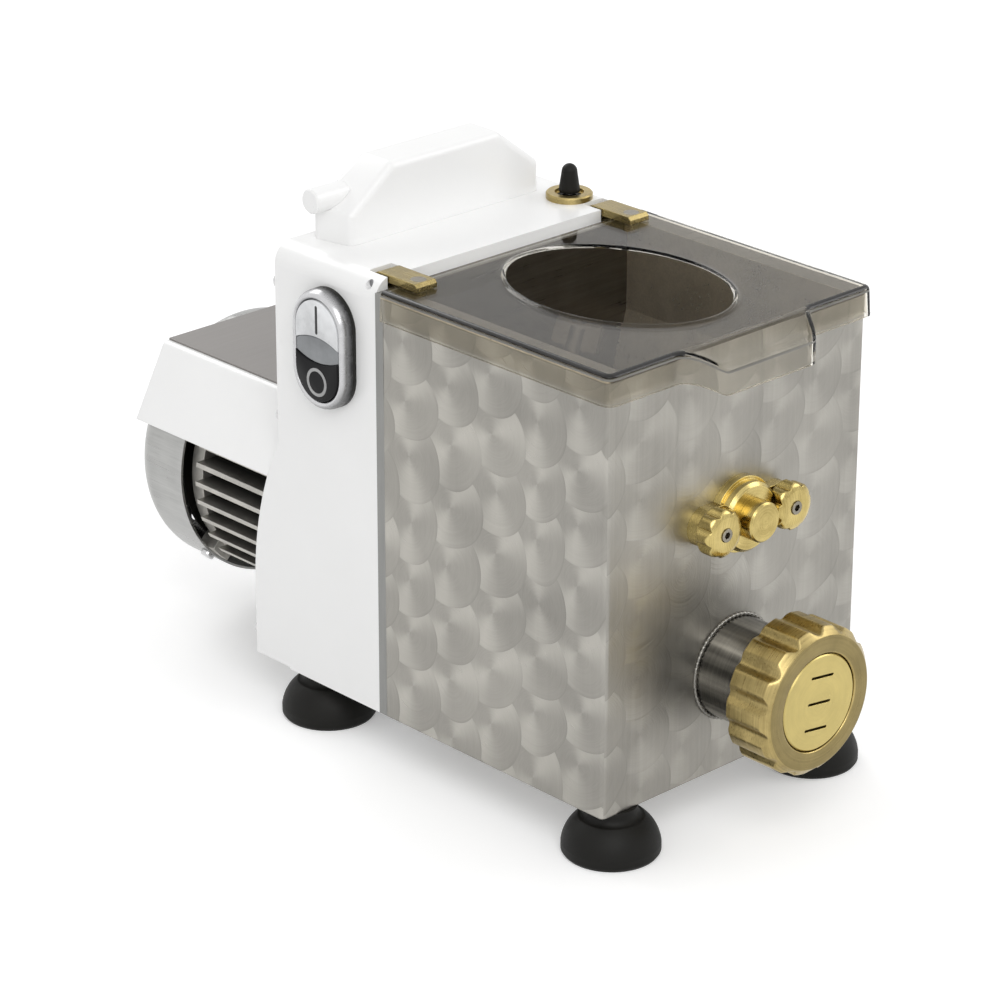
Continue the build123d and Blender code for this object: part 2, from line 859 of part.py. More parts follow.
with BuildPart() as bracket_screws:
    with BuildSketch(level(bracket_top)):
        with Locations(*bracket_screw_places):
            Circle(screw_head)
    extrude(amount=screw_radius - screw_head, taper=45)
    with BuildSketch(level(bracket_top)):
        with Locations(*bracket_screw_places):
            Circle(screw_radius)
    extrude(amount=lid_bottom - nut_thickness - bracket_top)
    for x, y in bracket_screw_places:
        add(hex_nut(x, y, lid_bottom - nut_thickness, screw_radius))

with BuildPart() as hinge_pins:
    for x in (-bracket_x, bracket_x):
        with BuildSketch(side(x)):
            with Locations((hinge_y, hinge_height)):
                Circle(hinge_pin_radius)
        extrude(amount=bracket_width / 2 + hinge_pin_overhang, both=True)

# ---------------------------------------------------------------- gearbox casting
collar_centre = (casting_face + button_y, button_z + (lens_low + lens_high) / 2)
stem_places = [(collar_centre[0], collar_centre[1] + stem_spacing / 2),
               (collar_centre[0], collar_centre[1] - stem_spacing / 2)]
edge_x = half_width - 3.8
cover_screws = [(x, z) for x in (-edge_x, edge_x) for z in (150.0, 215.0)]
low_cover_screws = [(-edge_x, 36.0), (edge_x, 36.0)]
plate_screws = [(x, z) for x in (-chamber_half + 4, chamber_half - 4) for z in (40.0, 170.0)]
drive_bush = drive_radius + running + bush_wall
pin_bore_length = half_width - bracket_x + bracket_width / 2 + hinge_pin_overhang

with BuildPart() as gearbox_casting:
    with BuildSketch(station(cover_face)) as casting_outline:
        with Locations((0, (foot_height + casting_top) / 2)):
            Rectangle(box_width, casting_top - foot_height)
        fillet(casting_outline.vertices().group_by(Axis.Y)[-1], casting_corner)
    extrude(amount=casting_depth)
    with BuildSketch(station(cover_face)):
        with Locations((0, (chamber_floor + ceiling) / 2)):
            Rectangle(2 * chamber_half, ceiling - chamber_floor)
    extrude(amount=cover_face - plate_y, mode=Mode.SUBTRACT)
    with BuildSketch(station(plate_y)):
        with Locations((0, (chamber_floor + ceiling) / 2)):
            Rectangle(2 * (chamber_half - shoulder_width), ceiling - chamber_floor)
    extrude(amount=plate_y - train_face, mode=Mode.SUBTRACT)
    with BuildSketch(station(cover_face)):
        with Locations((0, (ceiling + ceiling_wall + casting_top - roof_wall) / 2)):
            Rectangle(2 * chamber_half, casting_top - roof_wall - ceiling - ceiling_wall)
    extrude(amount=cover_face - train_face, mode=Mode.SUBTRACT)
    with BuildSketch(station(hinge_y + 8.5)):
        with Locations((-bracket_x, hinge_height - 5), (bracket_x, hinge_height - 5)):
            Rectangle(bracket_width + 5, 8)
    extrude(amount=hinge_y + 8.5 - train_face)
    with BuildSketch(station(hinge_y + 6)):
        with Locations((-bracket_x, hinge_height + 5), (bracket_x, hinge_height + 5)):
            Rectangle(bracket_width + 2 * knuckle_gap, 20)
    extrude(amount=hinge_y + 6 - casting_face, mode=Mode.SUBTRACT)
    for bore_start in (-half_width, half_width - pin_bore_length):
        with BuildSketch(side(bore_start)):
            with Locations((hinge_y, hinge_height)):
                Circle(hinge_pin_radius + seat_gap)
        extrude(amount=pin_bore_length, mode=Mode.SUBTRACT)
    with BuildSketch(station(train_face)):
        with Locations(auger_axis, mixer_axis):
            Circle(drive_bush + seat_gap)
    extrude(amount=front_wall, mode=Mode.SUBTRACT)
    with BuildSketch(level(casting_top)):
        with Locations((toggle_x, casting_face + toggle_y)):
            Circle(toggle_bush + seat_gap)
        with Locations((0, casting_face + (hump_front + hump_rear) / 2)):
            Rectangle(*wire_slot)
    extrude(amount=-roof_wall, mode=Mode.SUBTRACT)
    with BuildSketch(side(-half_width)):
        with Locations(collar_centre):
            Circle(collar_radius + seat_gap)
    extrude(amount=casting_wall, mode=Mode.SUBTRACT)
    with BuildSketch(level(foot_height)):
        with Locations(*rear_feet):
            Circle(foot_screw_radius + seat_gap)
    extrude(amount=floor_wall, mode=Mode.SUBTRACT)
    with BuildSketch(station(cover_face)):
        with Locations(*cover_screws, *low_cover_screws):
            Circle(screw_radius + seat_gap)
    extrude(amount=screw_length, mode=Mode.SUBTRACT)
    with BuildSketch(station(plate_y)):
        with Locations(*plate_screws):
            Circle(screw_radius + seat_gap)
    extrude(amount=screw_length, mode=Mode.SUBTRACT)

with BuildPart() as bearing_plate:
    with BuildSketch(station(plate_back)):
        with Locations((0, (chamber_floor + ceiling) / 2)):
            Rectangle(2 * chamber_half - 0.4, ceiling - chamber_floor - 0.4)
        with Locations(auger_axis, mixer_axis):
            Circle(drive_bush + seat_gap, mode=Mode.SUBTRACT)
        with Locations(second_axis):
            Circle(countershaft_radius + running + bush_wall + seat_gap, mode=Mode.SUBTRACT)
        with Locations(first_axis):
            Circle(journal_radius + running + bush_wall + seat_gap, mode=Mode.SUBTRACT)
        with Locations(*plate_screws):
            Circle(screw_radius + seat_gap, mode=Mode.SUBTRACT)
    extrude(amount=bearing_plate_thickness)


# ---------------------------------------------------------------- rear cover
def cover_section(low, high, back=0.0):
    """Side outline of the rear cover, thin at the top and curving out to its full depth below."""
    with BuildSketch(side(0)) as section:
        with BuildLine():
            Polyline((cover_face + cover_wall - back, cover_bend_top), (cover_face + cover_wall - back, high),
                     (cover_face - 1, high), (cover_face - 1, low), (cover_back - back, low),
                     (cover_back - back, cover_bend_low))
            TangentArc((cover_back - back, cover_bend_low), (cover_face + cover_wall - back, cover_bend_top),
                       tangent=(0, 1))
        make_face()
    return section.sketch


cover_low = foot_height + cover_floor

with BuildPart() as cover_cavity:
    extrude(cover_section(cover_low + cover_wall, cover_bend_top + 1, cover_wall), amount=chamber_half,
            both=True)
    with BuildSketch(station(cover_back)):
        with Locations(first_axis, second_axis):
            Circle(boss_radius)
    extrude(amount=cover_back - boss_face, mode=Mode.SUBTRACT)

with BuildPart() as rear_cover:
    extrude(cover_section(cover_low, casting_top), amount=half_width, both=True)
    fillet(rear_cover.edges().filter_by(Axis.Y).group_by(Axis.Z)[-1], casting_corner)
    with BuildSketch(station(cover_back)):
        with Locations(motor_axis):
            Circle(motor_pad)
    extrude(amount=cover_depth - cover_wall)
    add(cover_cavity.part, mode=Mode.SUBTRACT)
    with BuildSketch(station(cover_face)):
        Rectangle(4 * box_width, 4 * casting_top)
    extrude(amount=cover_wall, mode=Mode.SUBTRACT)
    with BuildSketch(station(cover_face + cover_wall)):
        with Locations(first_axis, second_axis):
            Circle(boss_radius)
    extrude(amount=boss_reach + cover_wall)
    with BuildSketch(station(boss_face + 0.5 + bush_depth)):
        with Locations(first_axis, second_axis):
            Circle(journal_radius + running + bush_wall + seat_gap)
    extrude(amount=bush_depth + 0.5, mode=Mode.SUBTRACT)
    with BuildSketch(station(cover_back)):
        with Locations(motor_axis):
            Circle(spigot_bore + seat_gap)
        with Locations(gland_place):
            Circle(gland_radius + seat_gap)
    extrude(amount=cover_depth, mode=Mode.SUBTRACT)
    with BuildSketch(station(cover_back)):
        with Locations(*cover_screws, *low_cover_screws):
            Circle(screw_radius + seat_gap)
    extrude(amount=cover_depth, mode=Mode.SUBTRACT)

# ---------------------------------------------------------------- gear train
auger_turn = 0.0
second_turn = 0.0
first_turn = 0.0

with BuildPart() as auger_wheel:
    extrude(gear_face(station(third_mesh_back), auger_axis, auger_teeth, final_module, auger_turn),
            amount=third_mesh_back - auger_wheel_face)
    with BuildSketch(station(third_mesh_back)):
        with Locations(auger_axis):
            Circle(drive_radius + seat_gap)
            with PolarLocations(0.6 * auger_teeth * final_module / 2, 6):
                Circle(6)
    extrude(amount=third_mesh_back - auger_wheel_face, mode=Mode.SUBTRACT)

with BuildPart() as mixer_wheel:
    extrude(gear_face(station(auger_wheel_face + gear_width), mixer_axis, mixer_teeth, final_module,
                      mesh_turn(auger_turn, auger_teeth, auger_axis, mixer_teeth, mixer_axis)),
            amount=gear_width)
    with BuildSketch(station(auger_wheel_face + gear_width)):
        with Locations(mixer_axis):
            Circle(drive_radius + seat_gap)
    extrude(amount=gear_width, mode=Mode.SUBTRACT)

with BuildPart() as second_wheel:
    extrude(gear_face(station(second_mesh_back), second_axis, second_teeth, second_module, second_turn),
            amount=thin_gear)
    with BuildSketch(station(second_mesh_back)):
        with Locations(second_axis):
            Circle(countershaft_radius + seat_gap)
    extrude(amount=thin_gear, mode=Mode.SUBTRACT)

with BuildPart() as second_countershaft:
    extrude(gear_face(station(third_mesh_back), second_axis, pinion_teeth, final_module,
                      mesh_turn(auger_turn, auger_teeth, auger_axis, pinion_teeth, second_axis)),
            amount=third_mesh_back - third_mesh_face)
    with BuildSketch(station(boss_face - 0.5)):
        with Locations(second_axis):
            Circle(countershaft_radius)
    extrude(amount=boss_face - 0.5 - third_mesh_back)
    with BuildSketch(station(boss_face + bush_depth)):
        with Locations(second_axis):
            Circle(journal_radius)
    extrude(amount=bush_depth + 0.5)

with BuildPart() as first_wheel:
    extrude(gear_face(station(first_mesh_back), first_axis, first_teeth, first_module, first_turn),
            amount=thin_gear)
    with BuildSketch(station(first_mesh_back)):
        with Locations(first_axis):
            Circle(countershaft_radius + seat_gap)
            with PolarLocations(0.6 * first_teeth * first_module / 2, 6):
                Circle(7)
    extrude(amount=thin_gear, mode=Mode.SUBTRACT)

with BuildPart() as first_countershaft:
    extrude(gear_face(station(second_mesh_back), first_axis, pinion_teeth, second_module,
                      mesh_turn(second_turn, second_teeth, second_axis, pinion_teeth, first_axis)),
            amount=thin_gear)
    with BuildSketch(station(boss_face - 0.5)):
        with Locations(first_axis):
            Circle(countershaft_radius)
    extrude(amount=boss_face - 0.5 - second_mesh_back)
    with BuildSketch(station(boss_face + bush_depth)):
        with Locations(first_axis):
            Circle(journal_radius)
    extrude(amount=bush_depth + 0.5)
    with BuildSketch(station(second_mesh_face)):
        with Locations(first_axis):
            Circle(journal_radius)
    extrude(amount=second_mesh_face - plate_y)

with BuildPart() as motor_pinion:
    extrude(gear_face(station(first_mesh_back), motor_axis, pinion_teeth, first_module,
                      mesh_turn(first_turn, first_teeth, first_axis, pinion_teeth, motor_axis)),
            amount=thin_gear)
    with BuildSketch(station(first_mesh_back)):
        with Locations(motor_axis):
            Circle(motor_shaft_radius + seat_gap)
    extrude(amount=thin_gear, mode=Mode.SUBTRACT)

# ---------------------------------------------------------------- motor
spigot_front = cover_back - shield_spigot
fan_front = cowl_front + fan_gap
fan_back = fan_front + fan_width

with BuildPart() as motor_frame:
    with BuildSketch(station(frame_back)):
        with Locations(motor_axis):
            Circle(core_radius)
            with GridLocations(0, fin_pitch, 1, 9):
                Rectangle(2 * motor_radius, fin_thickness)
            with GridLocations(fin_pitch, 0, 5, 1):
                Rectangle(fin_thickness, 2 * motor_radius)
            Circle(motor_radius, mode=Mode.INTERSECT)
            Circle(frame_bore, mode=Mode.SUBTRACT)
    extrude(amount=frame_back - frame_front)

with BuildPart() as front_end_shield:
    with BuildSketch(station(frame_front)):
        with Locations(motor_axis):
            Circle(shield_radius)
    extrude(amount=shield_thickness)
    with BuildSketch(station(cover_back)):
        with Locations(motor_axis):
            Circle(spigot_bore)
    extrude(amount=shield_spigot)
    with BuildSketch(station(frame_front)):
        with Locations(motor_axis):
            Circle(ball_bearing_radius + seat_gap)
    extrude(amount=ball_bearing_width, mode=Mode.SUBTRACT)
    with BuildSketch(station(frame_front)):
        with Locations(motor_axis):
            Circle(motor_shaft_radius + 1.5)
    extrude(amount=frame_front - spigot_front, mode=Mode.SUBTRACT)
    with BuildSketch(station(spigot_front + shield_spigot - 4)):
        with Locations(motor_axis):
            Circle(spigot_bore - 5)
    extrude(amount=shield_spigot - 4, mode=Mode.SUBTRACT)

# Radial planes on the cowl, one over each lug of the rear shield
cowl_screw_planes = []
for turn in (45, 135, 225, 315):
    way = Vector(cos(radians(turn)), 0, sin(radians(turn)))
    cowl_screw_planes.append(Plane(
        origin=Vector(0, cowl_front + cowl_screw_set, motor_height) + way * cowl_radius,
        x_dir=(0, 1, 0), z_dir=way))

with BuildPart() as rear_end_shield:
    with BuildSketch(station(cowl_front)):
        with Locations(motor_axis):
            Circle(shield_radius)
    extrude(amount=shield_thickness)
    with BuildSketch(station(cowl_front + lug_length - 4)):
        with Locations(motor_axis):
            with PolarLocations(cowl_radius - cowl_sheet - lug_size / 2, 4, start_angle=45):
                Rectangle(lug_size, 12)
            Circle(cowl_radius - cowl_sheet - seat_gap, mode=Mode.INTERSECT)
    extrude(amount=lug_length)
    with BuildSketch(station(frame_back + ball_bearing_width)):
        with Locations(motor_axis):
            Circle(ball_bearing_radius + seat_gap)
    extrude(amount=ball_bearing_width, mode=Mode.SUBTRACT)
    with BuildSketch(station(cowl_front)):
        with Locations(motor_axis):
            Circle(motor_shaft_radius + 1.5)
    extrude(amount=shield_thickness, mode=Mode.SUBTRACT)
    for plane in cowl_screw_planes:
        with BuildSketch(plane):
            Circle(screw_radius + seat_gap)
        extrude(amount=-cowl_sheet - lug_size + 1, mode=Mode.SUBTRACT)

with BuildPart() as stator_core:
    add(ring(motor_axis, stator_bore, frame_bore - seat_gap, stack_middle + stack_length / 2,
             stack_middle - stack_length / 2))

with BuildPart() as stator_windings:
    for end in (stack_middle - stack_length / 2, stack_middle + stack_length / 2 + winding_length):
        add(ring(motor_axis, winding_inner, winding_outer, end, end - winding_length))

with BuildPart() as rotor:
    with BuildSketch(station(fan_back + 1)):
        with Locations(motor_axis):
            Circle(motor_shaft_radius)
    extrude(amount=fan_back + 1 - first_mesh_face + 1)
    with BuildSketch(station(stack_middle + stack_length / 2)):
        with Locations(motor_axis):
            Circle(stator_bore - air_gap)
    extrude(amount=stack_length)

with BuildPart() as cooling_fan:
    with BuildSketch(station(fan_back)):
        with Locations(motor_axis):
            Circle(fan_hub)
            with PolarLocations((fan_hub + fan_radius) / 2 - 1, fan_blades):
                Rectangle(fan_radius - fan_hub + 2, 2.4)
    extrude(amount=fan_width)
    with BuildSketch(station(fan_front + fan_plate)):
        with Locations(motor_axis):
            Circle(fan_radius)
    extrude(amount=fan_plate)
    with BuildSketch(station(fan_back)):
        with Locations(motor_axis):
            Circle(motor_shaft_radius + seat_gap)
    extrude(amount=fan_width, mode=Mode.SUBTRACT)

with BuildPart() as fan_cowl:
    with BuildSketch(station(tail)):
        with Locations(motor_axis):
            Circle(cowl_radius)
    extrude(amount=cowl_length)
    fillet(fan_cowl.edges().filter_by(GeomType.CIRCLE).group_by(Axis.Y)[-1], cowl_round)
    offset(amount=-cowl_sheet, openings=fan_cowl.faces().sort_by(Axis.Y)[0])
    with BuildSketch(station(tail)):
        with Locations(motor_axis):
            for row_radius, row_count in grille_rows:
                with PolarLocations(row_radius, row_count):
                    Circle(grille_hole)
    extrude(amount=cowl_sheet, mode=Mode.SUBTRACT)
    for plane in cowl_screw_planes:
        with BuildSketch(plane):
            Circle(screw_radius + seat_gap)
        extrude(amount=-3 * cowl_sheet, mode=Mode.SUBTRACT)

# ---------------------------------------------------------------- motor cover
hood_back = cover_face + cover_wall + hood_length
hood_slope = (hood_low_half - hood_top_half) / (hood_top - hood_low)
flange_half = hood_top_half + hood_slope * (hood_top - cover_bend_top) - hood_sheet

with BuildPart() as motor_cover:
    with BuildSketch(station(hood_back)):
        with BuildLine():
            FilletPolyline((-hood_low_half, hood_low), (-hood_top_half, hood_top), (hood_top_half, hood_top),
                           (hood_low_half, hood_low), radius=hood_bend)
            offset(amount=hood_sheet, side=Side.RIGHT)
        make_face()
    extrude(amount=hood_length)
    with BuildSketch(station(cover_face + cover_wall + hood_sheet)):
        with BuildLine():
            Polyline((-flange_half, cover_bend_top), (-hood_top_half + hood_sheet, hood_top - 1),
                     (hood_top_half - hood_sheet, hood_top - 1), (flange_half, cover_bend_top), close=True)
        make_face()
    extrude(amount=hood_sheet)
    extrude(cover_section(cover_low, casting_top, -seat_gap), amount=half_width + 5, both=True,
            mode=Mode.SUBTRACT)

with BuildPart() as cover_top_plate:
    with BuildSketch(level(hood_top)):
        with Locations((0, hood_back - hood_length / 2)):
            Rectangle(2 * hood_top_half - 2 * hood_bend, hood_length - 0.5)
    extrude(amount=top_plate_thickness)


# ---------------------------------------------------------------- electrics cover
def hump_section(y, half, shoulder, flat_half, top, base):
    """Six-sided section of the electrics cover at a station."""
    with BuildSketch(station(y)) as section:
        with BuildLine():
            Polyline((-half, base), (-half, shoulder), (-flat_half, top), (flat_half, top), (half, shoulder),
                     (half, base), close=True)
        make_face()
    return section.sketch


hump_start = casting_face + hump_front
hump_end = casting_face + hump_rear
hump_inside = hump_top - hump_wall

with BuildPart() as electrics_cover:
    loft([hump_section(hump_end, hump_half_rear, hump_shoulder + 3, hump_flat_half, hump_top, casting_top),
          hump_section(hump_start, hump_half_front, hump_shoulder, hump_flat_half, hump_top, casting_top)])
    fillet(electrics_cover.edges().filter_by(lambda edge: edge.center().Z > casting_top + 1), hump_round)
    loft([hump_section(hump_end - hump_wall, hump_half_rear - hump_wall, hump_shoulder + 1.5,
                       hump_flat_half - 1, hump_inside, casting_top - 1),
          hump_section(hump_start + hump_wall, hump_half_front - hump_wall, hump_shoulder - 1.5,
                       hump_flat_half - 1, hump_inside, casting_top - 1)], mode=Mode.SUBTRACT)
    with BuildSketch(side(-plug_outer)):
        with Locations((casting_face + plug_y, plug_z)):
            Circle(plug_radius + seat_gap)
    extrude(amount=plug_outer - plug_inner, mode=Mode.SUBTRACT)

with BuildPart() as side_plug:
    with BuildSketch(side(-plug_outer)):
        with Locations((casting_face + plug_y, plug_z)):
            Circle(plug_radius)
    extrude(amount=plug_outer - plug_inner)
    chamfer(side_plug.edges().group_by(Axis.X)[0], 0.8)

with BuildPart() as terminal_block:
    with BuildSketch(level(casting_top)):
        with Locations((0, (hump_start + hump_end) / 2)):
            Rectangle(terminal_size[0], terminal_size[1])
    extrude(amount=terminal_size[2])

with BuildPart() as capacitor:
    with BuildSketch(side(0)):
        with Locations((casting_face + capacitor_place[0], capacitor_place[1])):
            Circle(capacitor_radius)
    extrude(amount=capacitor_length / 2, both=True)

# ---------------------------------------------------------------- push buttons
button_centre = (casting_face + button_y, button_z)
base_face = -half_width - base_thickness
bezel_face = base_face - bezel_thickness
recess_face = -half_width - base_floor


def opening_section(x, shrink=0.0):
    """Rounded opening of the bezel, shrunk all round, at side x."""
    width = opening_width - 2 * shrink
    with BuildSketch(side(x)) as section:
        with Locations(button_centre):
            RectangleRounded(width, opening_height - 2 * shrink, width / 2 - seat_gap)
    return section.sketch


with BuildPart() as button_base:
    with BuildSketch(side(base_face)):
        with Locations(button_centre):
            RectangleRounded(button_width, button_height, button_width / 2 - seat_gap)
    extrude(amount=base_thickness)
    extrude(opening_section(base_face), amount=base_thickness - base_floor, mode=Mode.SUBTRACT)
    with BuildSketch(side(-half_width)):
        with Locations(collar_centre):
            Circle(collar_radius)
    extrude(amount=casting_wall)
    with BuildSketch(side(recess_face)):
        with Locations(collar_centre):
            Circle(collar_radius - collar_wall)
    extrude(amount=base_floor + casting_wall, mode=Mode.SUBTRACT)

with BuildPart() as button_bezel:
    with BuildSketch(side(bezel_face)):
        with Locations(button_centre):
            RectangleRounded(button_width, button_height, button_width / 2 - seat_gap)
    extrude(amount=bezel_thickness)
    fillet(button_bezel.edges().group_by(Axis.X)[0], bezel_round)
    extrude(opening_section(bezel_face), amount=bezel_thickness, mode=Mode.SUBTRACT)


def push_button(low, high, stem):
    """Button head between two heights in the bezel's opening, with its stem through the wall."""
    head_face = bezel_face - button_proud
    with BuildPart() as button:
        extrude(opening_section(head_face, fit_gap), amount=button_head)
        with BuildSketch(side(head_face)):
            with Locations((button_centre[0], (low + high) / 2)):
                Rectangle(opening_width, high - low)
        extrude(amount=button_head, mode=Mode.INTERSECT)
        with BuildSketch(side(head_face + button_head)):
            with Locations(stem):
                Circle(stem_radius)
        extrude(amount=stem_reach - half_width - head_face - button_head)
    return button.part


with BuildPart() as start_button:
    add(push_button(button_z + lens_high + fit_gap, button_z + opening_height / 2, stem_places[0]))

with BuildPart() as stop_button:
    add(push_button(button_z - opening_height / 2, button_z + lens_low - fit_gap, stem_places[1]))

with BuildPart() as button_lens:
    extrude(opening_section(bezel_face, fit_gap), amount=recess_face - bezel_face)
    with BuildSketch(side(bezel_face)):
        with Locations((button_centre[0], button_z + (lens_low + lens_high) / 2)):
            Rectangle(opening_width, lens_high - lens_low)
    extrude(amount=recess_face - bezel_face, mode=Mode.INTERSECT)

with BuildPart() as contact_block:
    with BuildSketch(side(-chamber_half)):
        with Locations((button_centre[0], ceiling + ceiling_wall + 2 + contact_height / 2)):
            Rectangle(contact_width, contact_height)
    extrude(amount=contact_depth)

# ---------------------------------------------------------------- toggle switch
toggle_centre = (toggle_x, casting_face + toggle_y)
toggle_roof = casting_top - roof_wall
boot_low = casting_top + toggle_nut_height + fit_gap
boot_top = boot_low + boot_height

with BuildPart() as toggle_switch:
    with BuildSketch(level(toggle_roof)):
        with Locations(toggle_centre):
            Rectangle(toggle_body[0], toggle_body[1])
    extrude(amount=-toggle_body[2])
    with BuildSketch(level(toggle_roof)):
        with Locations(toggle_centre):
            Circle(toggle_bush)
    extrude(amount=roof_wall + toggle_web)
    with BuildSketch(level(toggle_pivot - 5)):
        with Locations(toggle_centre):
            Circle(toggle_bore)
    extrude(amount=casting_top + toggle_web - toggle_pivot + 5, mode=Mode.SUBTRACT)

with BuildPart() as toggle_nut:
    with BuildSketch(level(casting_top)):
        with Locations(toggle_centre):
            Circle(toggle_nut_radius)
    extrude(amount=toggle_nut_height)
    chamfer(toggle_nut.edges().group_by(Axis.Z)[-1], 0.6)
    with BuildSketch(level(casting_top)):
        with Locations(toggle_centre):
            Circle(toggle_bush + seat_gap)
    extrude(amount=toggle_nut_height, mode=Mode.SUBTRACT)
    with BuildSketch(level(casting_top + toggle_web)):
        with Locations(toggle_centre):
            Circle(boot_base + 2.0)
    extrude(amount=toggle_nut_height, mode=Mode.SUBTRACT)

with BuildPart() as toggle_lever:
    with BuildSketch(level(toggle_pivot)):
        with Locations(toggle_centre):
            Circle(lever_radius)
    extrude(amount=boot_top - 3 - toggle_pivot)
    with Locations((*toggle_centre, toggle_pivot)):
        Sphere(lever_ball)

with BuildPart() as toggle_boot:
    with BuildSketch(Plane(origin=(*toggle_centre, 0), x_dir=(1, 0, 0), z_dir=(0, -1, 0))):
        with BuildLine():
            neck_top = boot_top - boot_neck
            Polyline((0, boot_top), (0, boot_low), (boot_base, boot_low), (boot_base, boot_low + 1.5),
                     (boot_neck, neck_top))
            ThreePointArc((boot_neck, neck_top),
                          (boot_neck * cos(pi / 4), neck_top + boot_neck * sin(pi / 4)), (0, boot_top))
        make_face()
    revolve(axis=Axis((*toggle_centre, 0), (0, 0, 1)))
    with BuildSketch(level(boot_low)):
        with Locations(toggle_centre):
            Circle(lever_radius + seat_gap)
    extrude(amount=boot_height - 3, mode=Mode.SUBTRACT)

# ---------------------------------------------------------------- bearings and seals
journal_bore = journal_radius + running
counter_bore = countershaft_radius + running
motor_bore = motor_shaft_radius + running

with BuildPart() as shaft_bearings:
    for centre in (auger_axis, mixer_axis):
        add(ring(centre, drive_radius + running, drive_bush, train_face, casting_face))
        add(ring(centre, drive_radius + running, drive_bush, plate_back, plate_y))
    add(ring(second_axis, counter_bore, counter_bore + bush_wall, plate_back, plate_y))
    add(ring(first_axis, journal_bore, journal_bore + bush_wall, plate_back, plate_y))
    for centre in (first_axis, second_axis):
        add(ring(centre, journal_bore, journal_bore + bush_wall, boss_face + bush_depth, boss_face))
    add(ring(motor_axis, motor_bore, ball_bearing_radius, frame_front, frame_front - ball_bearing_width))
    add(ring(motor_axis, motor_bore, ball_bearing_radius, frame_back + ball_bearing_width, frame_back))

with BuildPart() as shaft_seals:
    for centre in (auger_axis, mixer_axis):
        add(ring(centre, drive_radius + running, drive_radius + seal_wall - seat_gap, casting_face, plate_face))

# ---------------------------------------------------------------- feet, gland and fasteners
screw_seat = foot_height - foot_screw_depth

with BuildPart() as rubber_feet:
    for x, y in foot_places:
        with BuildSketch(Plane(origin=(x, y, 0), x_dir=(1, 0, 0), z_dir=(0, -1, 0))):
            with BuildLine():
                Polyline((foot_neck, foot_height), (0, foot_height), (0, 0), (foot_radius - 1, 0),
                         (foot_radius, 1.5), (foot_radius, 5))
                ThreePointArc((foot_radius, 5), (foot_radius - 2.6, 12.2), (foot_neck + 3, foot_height - 6))
                ThreePointArc((foot_neck + 3, foot_height - 6), (foot_neck + 0.9, foot_height - 5.1),
                              (foot_neck, foot_height - 3))
                Line((foot_neck, foot_height - 3), (foot_neck, foot_height))
            make_face()
        revolve(axis=Axis((x, y, 0), (0, 0, 1)))
    with BuildSketch(level(0)):
        with Locations(*foot_places):
            Circle(foot_screw_head + 1)
    extrude(amount=screw_seat, mode=Mode.SUBTRACT)
    with BuildSketch(level(0)):
        with Locations(*foot_places):
            Circle(foot_screw_radius + seat_gap)
    extrude(amount=foot_height, mode=Mode.SUBTRACT)

with BuildPart() as foot_screws:
    for x, y in foot_places:
        floor_top = foot_height + (sheet if y < plate_face else floor_wall)
        with BuildSketch(level(screw_seat)):
            with Locations((x, y)):
                Circle(foot_screw_head)
        extrude(amount=-nut_thickness)
        with BuildSketch(level(screw_seat)):
            with Locations((x, y)):
                Circle(foot_screw_radius)
        extrude(amount=foot_height + floor_wall + nut_thickness + 1 - screw_seat)
        add(hex_nut(x, y, floor_top, foot_screw_radius))

with BuildPart() as cable_gland:
    with BuildSketch(station(cover_back)):
        with Locations(gland_place):
            Circle(gland_radius)
    extrude(amount=cover_wall)
    with BuildSketch(station(cover_back + 6)):
        with Locations(gland_place):
            RegularPolygon(gland_hex, 6)
    extrude(amount=6)
    with BuildSketch(station(cover_back + 15)):
        with Locations(gland_place):
            Circle(gland_radius)
    extrude(amount=9)
    fillet(cable_gland.edges().group_by(Axis.Y)[-1], 2.5)
    with BuildSketch(station(cover_back + 15)):
        with Locations(gland_place):
            Circle(gland_hole)
    extrude(amount=15 + cover_wall, mode=Mode.SUBTRACT)

screw_places = [(rearward(x, cover_face + cover_wall, z), screw_length + cover_wall - 1)
                for x, z in cover_screws]
screw_places += [(rearward(x, cover_back, z), cover_depth + screw_length - 1) for x, z in low_cover_screws]
screw_places += [(rearward(x, plate_back, z), bearing_plate_thickness + screw_length - 1)
                 for x, z in plate_screws]
screw_places += [(plane, cowl_sheet + lug_size - 2) for plane in cowl_screw_planes]

with BuildPart() as housing_screws:
    for place, length in screw_places:
        add(pan_screw(place, length))

